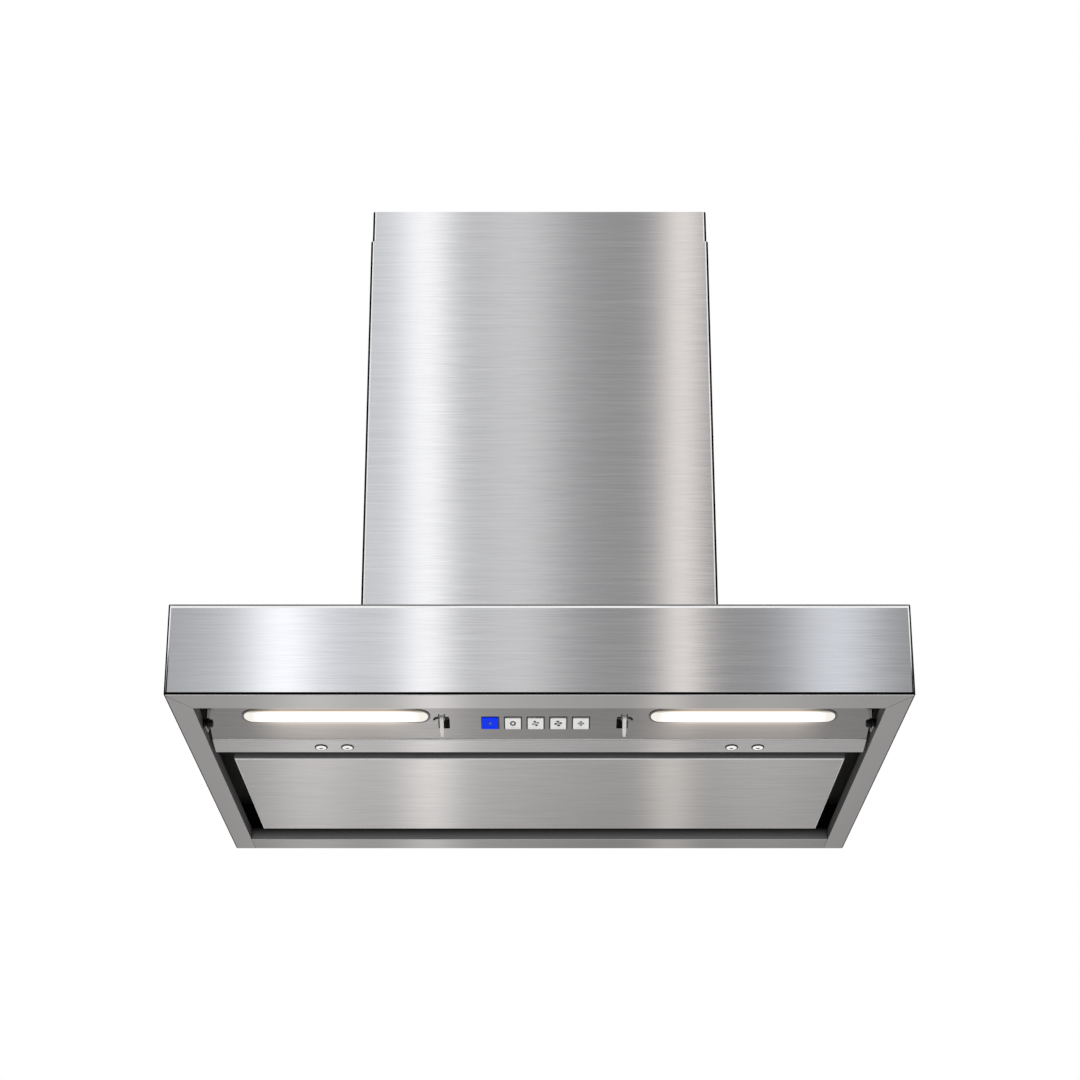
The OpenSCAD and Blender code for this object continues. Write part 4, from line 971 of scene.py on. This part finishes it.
def refine(node: str, edge: float = 0.0, smooth_deg: float = 32, finish: str | None = None) -> Piece:
    """Replaces a CAD node by its own form with merged corners, smooth folds and broken edges.

    Args:
        node: The CAD node.
        edge: Width of the small bevel on its sharp edges, or 0 for none.
        smooth_deg: Edges flatter than this are shaded smooth.
        finish: The finish it wears, when that isn't its slot's own.

    Returns:
        The new piece.
    """
    source = frame["nodes"][node]
    select_only(source)
    bpy.ops.object.duplicate(linked=False)
    piece = bpy.context.active_object
    bpy.ops.object.parent_clear(type="CLEAR_KEEP_TRANSFORM")
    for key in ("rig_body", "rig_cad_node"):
        del piece[key]
    bpy.ops.mesh.customdata_custom_splitnormals_clear()
    bpy.ops.object.mode_set(mode="EDIT")
    bpy.ops.mesh.select_all(action="SELECT")
    bpy.ops.mesh.remove_doubles(threshold=MERGE_DISTANCE)
    bpy.ops.mesh.dissolve_limited(angle_limit=math.radians(FLAT_DEG))
    bpy.ops.object.mode_set(mode="OBJECT")
    if edge:
        bevel = piece.modifiers.new("edge", "BEVEL")
        bevel.width = edge
        bevel.segments = EDGE_SEGMENTS
        bevel.limit_method = "ANGLE"
        bevel.angle_limit = math.radians(SHARP_DEG)
    slot = node_slot(node)
    finish_piece(piece, f"{node}_skin", node_body(node), finish or slot, smooth_deg)
    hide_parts(node)
    return piece


def dress_node(node: str) -> None:
    """Gives a carried-over CAD node the finish of its slot.

    Args:
        node: The CAD node.
    """
    slots = frame["nodes"][node].material_slots
    for slot in slots:
        slot.material = FINISHES.get(node_slot(node))
    if not slots:
        dress(frame["nodes"][node], node_slot(node))


@dataclass
class Shells:
    """The folded sheets: canopy, chimney covers, panel, rail, plate and tray."""

    # CAD node of each sheet and its finish

    sheets: tuple[tuple[str, str], ...] = (
        ("canopy_shell", "canopy_stainless"),
        ("canopy_back", "back_stainless"),
        ("lower_chimney", "chimney_stainless"),
        ("upper_chimney", "upper_stainless"),
        ("perimeter_panel", "panel_stainless"),
        ("cross_rail", "rail_stainless"),
        ("control_plate", "plate_stainless"),
        ("plenum_tray", "mill_stainless"),
    )

    def build(self) -> None:
        """Shows each sheet with smooth folds."""
        for node, finish in self.sheets:
            refine(node, finish=finish)


@dataclass
class SmallParts:
    """Levers, pins, screws and other small pieces, with their edges broken."""

    edge: float = 0.25 * MM
    nodes: tuple[str, ...] = (
        "latch_bolt_left", "latch_bolt_right", "side_bolts", "button_housing", "bracket_screws",
        "cable_gland", "terminal_box",
    )
    # Thin pieces, each with its finish where that isn't its slot's own. Brushing blurs their
    # mirror image in the sheets until it can't be seen.
    thin: tuple[tuple[str, str | None], ...] = (
        ("latch_lever_left", None),
        ("latch_lever_right", None),
        ("latch_bracket_left", "latch_stainless"),
        ("latch_bracket_right", "latch_stainless"),
        ("latch_pin_left", "wire_pin"),
        ("latch_pin_right", "wire_pin"),
        ("rail_washers", "washer_white"),
        ("rail_screws", "washer_white"),
    )

    def build(self) -> None:
        """Shows each small piece with broken edges."""
        for node in self.nodes:
            refine(node, edge=self.edge)
        for node, finish in self.thin:
            refine(node, edge=self.edge, finish=finish).visible_glossy = False


@dataclass
class InnerParts:
    """Filters, blower and duct pieces."""

    smooth: tuple[str, ...] = (
        "filter_frame_left", "filter_frame_right", "filter_baffles_left", "filter_baffles_right",
        "scroll_left", "scroll_right", "impeller", "motor", "motor_shaft", "motor_spider", "duct_collar",
        "damper_front", "damper_rear", "damper_spindle", "blower_box",
    )

    def build(self) -> None:
        """Shows each inner piece with smooth curves."""
        for node in self.smooth:
            refine(node)


@dataclass(frozen=True)
class SlopedPlate:
    """Where a sloping plate lies: a line along the hood, and how steeply it rises to the front."""

    y: float = -357.505 * MM
    z: float = 6 * MM
    tilt: float = math.radians(15)

    def matrix(self, x: float, up: float, out: float = 0.0) -> Matrix:
        """A place on the plate, with Z out of the plate and Y up the slope to the front.

        Args:
            x: Place along the hood.
            up: Distance up the slope.
            out: Distance out of the plate's face.

        Returns:
            The place as a matrix.
        """
        rise, run = math.sin(self.tilt), math.cos(self.tilt)
        origin = Vector((x, self.y - up * run - out * rise, self.z + up * rise - out * run))
        turn = Matrix(((1, 0, 0), (0, -run, -rise), (0, rise, -run)))
        return Matrix.Translation(origin) @ turn.to_4x4()


PLATE = SlopedPlate()
# The rail runs on from there towards the wall, less steep
RAIL = SlopedPlate(z=5.03 * MM, tilt=math.radians(8))


def place_at(piece: Piece, matrix: Matrix) -> Piece:
    """Moves a piece made at the origin to its place.

    Args:
        piece: The piece.
        matrix: The place.

    Returns:
        The same piece.
    """
    bpy.context.view_layer.update()
    piece.matrix_world = matrix @ piece.matrix_world
    return piece


def join(pieces: list[Piece]) -> Piece:
    """Joins pieces into the first of them.

    Args:
        pieces: One piece or more.

    Returns:
        The joined piece.
    """
    deselect_all()
    for piece in pieces:
        piece.select_set(True)
    bpy.context.view_layer.objects.active = pieces[0]
    if len(pieces) > 1:
        bpy.ops.object.join()
    return bpy.context.active_object


def flat_ring(
    radius: float, line: float, height: float, x: float = 0.0, y: float = 0.0, stretch: float = 1.0
) -> Piece:
    """A flat ring of printed ink, or of black for painted shade, round a point, lying in the XY plane.

    Args:
        radius: Radius of the ring's middle line.
        line: Width of the ring.
        height: Its thickness.
        x: Place of its middle.
        y: Place of its middle.
        stretch: Its height as a share of its width.

    Returns:
        The ring.
    """
    deselect_all()
    bpy.ops.mesh.primitive_torus_add(
        major_segments=40, minor_segments=10, major_radius=radius, minor_radius=line / 2, location=(x, y, 0)
    )
    ring = bpy.context.active_object
    ring.scale = (1, stretch, height / line)
    return ring


def flat_disc(
    radius: float, height: float, x: float = 0.0, y: float = 0.0, stretch: float = 1.0
) -> Piece:
    """A flat disc, lying in the XY plane.

    Args:
        radius: Its radius.
        height: Its thickness.
        x: Place of its middle.
        y: Place of its middle.
        stretch: Its height as a share of its width.

    Returns:
        The disc.
    """
    deselect_all()
    bpy.ops.mesh.primitive_cylinder_add(vertices=32, radius=radius, depth=height, location=(x, y, 0))
    disc = bpy.context.active_object
    disc.scale = (1, stretch, 1)
    return disc


@dataclass(frozen=True)
class Fan:
    """A printed fan: how far out its blades lie, how large they are, and its turn in radians."""

    reach: float
    blade: float
    turn: float


@dataclass
class Keys:
    """The five push keys with broken edges, black surrounds that paint the shade of the gap round each key,
    and printed symbols.
    """

    # Name, symbol and CAD node of each key, from left to right
    keys: tuple[tuple[str, Symbol, str], ...] = (
        ("power", Symbol.POWER, "button_power"),
        ("light", Symbol.RING, "button_light"),
        ("low", Symbol.FAN, "button_speed_low"),
        ("mid", Symbol.FAN_FULL, "button_speed_mid"),
        ("high", Symbol.FAN_FINE, "button_speed_high"),
    )
    row_up: float = 25.7 * MM
    width: float = 13.2 * MM
    height: float = 17.0 * MM
    # The black surround stands for the shade of the gap round a key: painted shade
    surround: float = 1.05 * MM
    surround_out: float = 0.01 * MM
    surround_lift: float = 0.14 * MM
    clearance: float = 0.06 * MM
    face_out: float = 0.70 * MM
    ink: float = 0.22 * MM
    # The symbols are drawn taller than wide, so that they look round from below the hood
    stretch: float = 1.45
    edge: float = 0.3 * MM
    # Radius and line of the printed rings
    power_ring: tuple[float, float] = (1.75 * MM, 1.3 * MM)
    light_ring: tuple[float, float] = (1.9 * MM, 1.35 * MM)
    pilot_radius: float = 0.85 * MM
    hub_radius: float = 0.42 * MM
    # An open blade is a ring, this share of the blade's size
    open_share: float = 0.72
    open_line: float = 0.75 * MM
    blade_stretch: float = 1.1
    fans: tuple[tuple[Symbol, Fan], ...] = (
        (Symbol.FAN, Fan(2.05 * MM, 1.2 * MM, 0.35)),
        (Symbol.FAN_FULL, Fan(2.10 * MM, 1.3 * MM, 0.20)),
        (Symbol.FAN_FINE, Fan(1.75 * MM, 1.05 * MM, 0.0)),
    )

    def build(self) -> None:
        """Makes every key, its surround and its symbol."""
        for name, symbol, node in self.keys:
            low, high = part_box(node)
            x = (low[0] + high[0]) / 2
            refine(node, edge=self.edge)
            self._shade_lip(name, x)
            body = node_body(node)
            for part, (pieces, finish) in enumerate(self._symbol(symbol)):
                piece = place_at(join(pieces), PLATE.matrix(x, self.row_up, self.face_out))
                finish_piece(piece, f"symbol_{name}_{part}", body, finish)

    def _shade_lip(self, name: str, x: float) -> None:
        """Makes the black lip that shows round a key: painted shade for the gap between key and plate.

        Args:
            name: The key's name.
            x: The key's place along the hood.
        """
        deselect_all()
        bpy.ops.mesh.primitive_plane_add(size=1)
        lip = bpy.context.active_object
        wide = 2 * (self.surround + self.clearance)
        lip.scale = (self.width + wide, self.height + wide, 1)
        bpy.ops.object.transform_apply(location=False, rotation=False, scale=True)
        bpy.ops.object.mode_set(mode="EDIT")
        bpy.ops.mesh.select_all(action="SELECT")
        bpy.ops.mesh.inset(thickness=self.surround, use_even_offset=True)
        bpy.ops.mesh.delete(type="FACE")
        bpy.ops.mesh.select_all(action="SELECT")
        bpy.ops.mesh.extrude_region_move(TRANSFORM_OT_translate={"value": (0, 0, self.surround_lift)})
        bpy.ops.mesh.select_all(action="SELECT")
        bpy.ops.mesh.normals_make_consistent(inside=False)
        bpy.ops.object.mode_set(mode="OBJECT")
        place_at(lip, PLATE.matrix(x, self.row_up, self.surround_out))
        finish_piece(lip, f"key_shade_lip_{name}", HOOD, BLACK)

    def _symbol(self, symbol: Symbol) -> list[tuple[list[Piece], str]]:
        """Makes the parts of a symbol.

        Args:
            symbol: The symbol.

        Returns:
            The pieces of each part, with the part's finish.
        """
        ink, tall = self.ink, self.stretch
        if symbol is Symbol.POWER:
            return [
                ([flat_ring(*self.power_ring, ink, stretch=tall)], "print_blue"),
                ([flat_disc(self.pilot_radius, ink, stretch=tall)], "pilot_light"),
            ]
        if symbol is Symbol.RING:
            return [([flat_ring(*self.light_ring, ink, stretch=tall)], "print_dark")]
        fan = dict(self.fans)[symbol]
        pieces = [flat_disc(self.hub_radius, ink, stretch=tall)]
        for quarter in range(4):
            turn = fan.turn + quarter * math.pi / 2
            x, y = fan.reach * math.cos(turn), fan.reach * math.sin(turn) * tall
            place = (x, y, self.blade_stretch)
            if symbol is Symbol.FAN_FULL or (symbol is Symbol.FAN and quarter % 2):
                pieces.append(flat_disc(fan.blade, ink, *place))
            else:
                pieces.append(flat_ring(fan.blade * self.open_share, self.open_line, ink, *place))
        return [(pieces, "print_dark")]


@dataclass
class RailFixings:
    """Black rings round the rail's white washers and black bars across its screws: painted shade round the
    washers and in the screws' slots.
    """

    screws_x: tuple[float, ...] = (-187.0 * MM, -164.5 * MM, 164.5 * MM, 187.0 * MM)
    up: float = -13.25 * MM
    ring_out: float = 0.85 * MM
    ring_radius: float = 4.75 * MM
    ring_width: float = 1.7 * MM
    ring_height: float = 1.4 * MM
    slot: Point = (2.9 * MM, 1.5 * MM, 0.3 * MM)
    head_out: float = 1.95 * MM

    def build(self) -> None:
        """Makes the rings and the slots."""
        rings, slots = [], []
        for x in self.screws_x:
            ring = flat_ring(self.ring_radius, self.ring_width, self.ring_height)
            rings.append(place_at(ring, RAIL.matrix(x, self.up, self.ring_out)))
        for x in self.screws_x:
            deselect_all()
            bpy.ops.mesh.primitive_cube_add(size=1)
            bar = bpy.context.active_object
            bar.scale = self.slot
            slots.append(place_at(bar, RAIL.matrix(x, self.up, self.head_out)))
        # Both are black pieces that paint shade: round the washers and in the screws' slots
        for name, pieces in (("washer_shade_rings", rings), ("screw_slot_shades", slots)):
            finish_piece(join(pieces), name, HOOD, BLACK).visible_glossy = False


@dataclass
class Lamps:
    """The bezels and frosted lenses of the two strip lamps, with their edges broken."""

    bezel_edge: float = 0.2 * MM
    lens_edge: float = 0.3 * MM

    def build(self) -> None:
        """Shows both lamps."""
        for side in ("left", "right"):
            refine(f"lamp_bezel_{side}", edge=self.bezel_edge)
            refine(f"lamp_lens_{side}", edge=self.lens_edge)


@dataclass(frozen=True)
class Softbox:
    """One upright strip of light, by the sideways part of its direction."""

    centre: float
    width: float
    strength: float
    tint: str = "#ffffff"


@dataclass(frozen=True)
class Bank:
    """A row of softboxes on an evenly lit ground."""

    ground: float
    tint: str
    boxes: tuple[Softbox, ...]

    def light(self, tree: Tree, sideways: Socket) -> Socket:
        """Adds up the ground and its softboxes.

        Args:
            tree: The world's tree.
            sideways: The sideways part of the direction.

        Returns:
            The light as a vector.
        """
        even = tuple(c * self.ground for c in linear(self.tint)[:3])
        total = add_node(tree, "VectorMath", {0: even}, operation="ADD").outputs[0]
        for box in self.boxes:
            off = add_node(tree, "Math", {0: sideways, 1: box.centre}, operation="SUBTRACT").outputs[0]
            steps = add_node(tree, "Math", {0: off, 1: box.width}, operation="DIVIDE").outputs[0]
            square = add_node(tree, "Math", {0: steps, 1: steps}, operation="MULTIPLY").outputs[0]
            minus = add_node(tree, "Math", {0: square, 1: -1.0}, operation="MULTIPLY").outputs[0]
            bell = add_node(tree, "Math", {0: minus}, operation="EXPONENT").outputs[0]
            tint = tuple(c * box.strength for c in linear(box.tint)[:3])
            glow = add_node(tree, "VectorMath", {0: tint, "Scale": bell}, operation="SCALE").outputs[0]
            total = add_node(tree, "VectorMath", {0: total, 1: glow}, operation="ADD").outputs[0]
        return total


@dataclass(frozen=True)
class SoftLamp:
    """A large soft lamp, with its place and size in metres and its power in watts."""

    name: str
    place: Point
    size: float
    power: float


@dataclass
class Studio:
    """Camera, softboxes, soft lamps and the pale floor."""

    # The camera stands 1844 mm in front of the fascia and 586 mm below the rim
    camera_place: Point = (0.0004, -2.3444, -0.5860)
    pitch_deg: float = 111.28
    focal_px: float = 2424.3
    frame_px: float = 1080.0
    sensor: float = 36.0
    clip_end: float = 50
    floor_colour: str = "#f2f2f0"
    floor_roughness: float = 0.9
    floor_place: Point = (0, -0.3, -1.6)
    floor_radius: float = 1.7
    lamps: tuple[SoftLamp, ...] = (
        SoftLamp("key", (-1.6, -2.6, 1.6), 1.6, 22.0),
        SoftLamp("fill", (1.8, -2.2, 0.2), 1.8, 12.0),
    )
    # What the soft lamps are aimed at
    aim: Point = (0, -0.25, 0.1)
    diffuse_level: float = 0.8
    overhead: float = 1.35
    # The room beside the strips and the one below them, which only turned sheets show
    beside_level: float = 0.26
    low_level: float = 0.20
    front: Bank = Bank(
        0.41,
        "#fdfeff",
        (
            Softbox(-0.106, 0.014, 0.82, "#fafcff"),
            Softbox(-0.092, 0.060, 0.58, "#f2f7fe"),
            Softbox(-0.0468, 0.0105, 0.98),
            Softbox(-0.008, 0.019, 0.44),
            Softbox(0.0585, 0.0082, 1.02, "#fff6ee"),
            Softbox(0.1213, 0.0180, 0.76, "#f0f6ff"),
        ),
    )
    below: Bank = Bank(
        0.46,
        "#fffdfb",
        (
            Softbox(-0.095, 0.018, 0.22, "#fffcfa"),
            Softbox(-0.050, 0.060, 0.23, "#fffcfa"),
            Softbox(-0.045, 0.012, 0.37, "#fffcfa"),
            Softbox(0.053, 0.010, 0.31, "#fff7ef"),
            Softbox(0.090, 0.030, 0.14, "#fffcfa"),
        ),
    )
    # Low behind the hood the wall and its corner are dimmer than the paper below
    wall_level: float = 0.25
    wall_ends: tuple[float, float] = (-0.250, -0.205)
    # Where each part of the room starts and is full, by a part of the direction
    beside_start: tuple[float, float] = (0.26, 0.36)
    beside_end: tuple[float, float] = (0.86, 0.72)
    low_ends: tuple[float, float] = (0.03, -0.12)
    overhead_ends: tuple[float, float] = (0.58, 0.78)
    rear_ends: tuple[float, float] = (0.02, 0.20)
    paper_deep: tuple[float, float] = (0.25, 0.6)
    paper_high: tuple[float, float] = (-0.10, 0.15)

    def build(self) -> None:
        """Sets up everything round the object."""
        self._camera()
        self._world()
        self._lamps()
        self._floor()
        bpy.context.scene.view_settings.view_transform = "Standard"

    def _camera(self) -> None:
        """Stands the camera where the photograph was taken from."""
        bpy.ops.object.camera_add(location=self.camera_place, rotation=(math.radians(self.pitch_deg), 0, 0))
        camera = bpy.context.object
        camera.data.sensor_width = self.sensor
        camera.data.lens = self.focal_px * self.sensor / self.frame_px
        camera.data.clip_end = self.clip_end
        bpy.context.scene.camera = camera

    def _world(self) -> None:
        """Sets what the metal reflects: strips, a dim room beside and below them, and white paper.

        The sheets' scratches run level, so a highlight keeps the sideways part of its direction
        and spreads up and down. The strips are therefore upright, and their place is given by
        the sideways part of the direction alone.
        """
        world = bpy.data.worlds.new("studio")
        bpy.context.scene.world = world
        world.use_nodes = True
        tree = world.node_tree
        tree.nodes.clear()
        split = add_node(tree, "SeparateXYZ", {0: add_node(tree, "TexCoord").outputs["Generated"]})
        side, deep, high = (split.outputs[axis] for axis in "XYZ")
        out = add_node(tree, "Math", {0: side}, operation="ABSOLUTE").outputs[0]

        wall = {"Value": high, 1: self.wall_ends[0], 2: self.wall_ends[1], 3: 1.0, 4: self.wall_level}
        dim = add_node(tree, "MapRange", wall).outputs[0]
        below = self.below.light(tree, side)
        below = add_node(tree, "VectorMath", {0: below, "Scale": dim}, operation="SCALE").outputs[0]
        starts, stops, low, over, rear, back, above = (
            add_node(
                tree, "MapRange", {"Value": value, 1: ends[0], 2: ends[1]}, interpolation_type="SMOOTHSTEP"
            ).outputs[0]
            for value, ends in (
                (out, self.beside_start),
                (out, self.beside_end),
                (high, self.low_ends),
                (high, self.overhead_ends),
                (deep, self.rear_ends),
                (deep, self.paper_deep),
                (high, self.paper_high),
            )
        )
        beside = add_node(tree, "Math", {0: starts, 1: stops}, operation="MULTIPLY").outputs[0]
        paper = add_node(tree, "Math", {0: back, 1: above}, operation="MULTIPLY").outputs[0]
        path = add_node(tree, "LightPath").outputs
        rays = {0: path["Is Camera Ray"], 1: path["Is Transmission Ray"]}
        seen = add_node(tree, "Math", rays, operation="MAXIMUM").outputs[0]

        room = self.front.light(tree, side)
        white = (1, 1, 1)
        # Each part of the room covers those before it
        for where, light in (
            (beside, (self.beside_level,) * 3),
            (low, (self.low_level,) * 3),
            (over, (self.overhead,) * 3),
            (rear, below),
            (paper, white),
            (path["Is Diffuse Ray"], (self.diffuse_level,) * 3),
            (seen, white),
        ):
            room = add_node(tree, "Mix", {0: where, 4: room, 5: light}, data_type="VECTOR").outputs[1]
        background = add_node(tree, "Background", {"Color": room, "Strength": 1.0})
        add_node(tree, "OutputWorld", {"Surface": background.outputs[0]})

    def _lamps(self) -> None:
        """Hangs two large soft lamps that light what isn't metal."""
        for soft in self.lamps:
            bpy.ops.object.light_add(type="AREA", location=soft.place)
            lamp = bpy.context.object
            lamp.name = soft.name
            lamp.data.size = soft.size
            lamp.data.energy = soft.power
            way = Vector(self.aim) - Vector(soft.place)
            lamp.rotation_euler = way.to_track_quat("-Z", "Y").to_euler()
            lamp.visible_glossy = False
            lamp.visible_camera = False

    def _floor(self) -> None:
        """Lays a plain pale floor, a table's height and more below the hood."""
        deselect_all()
        bpy.ops.mesh.primitive_circle_add(
            vertices=96, radius=self.floor_radius, fill_type="NGON", location=self.floor_place
        )
        floor = bpy.context.object
        floor.name = "floor"
        material, tree, shader = new_material("studio floor, pale")
        set_inputs(tree, shader, {"Base Color": linear(self.floor_colour), "Roughness": self.floor_roughness})
        floor.data.materials.append(material)
        floor.visible_glossy = False


def main() -> None:
    """Builds the looks of the hood and the studio round it."""
    logging.basicConfig(level=logging.INFO, format="%(message)s")
    for assembly in (Shells(), SmallParts(), InnerParts(), Keys(), RailFixings(), Lamps()):
        LOG.info("building %s", type(assembly).__name__)
        assembly.build()
    for node in frame["nodes"]:
        if not frame["nodes"][node].hide_render:
            dress_node(node)
    Studio().build()


if __name__ == "__main__":
    main()
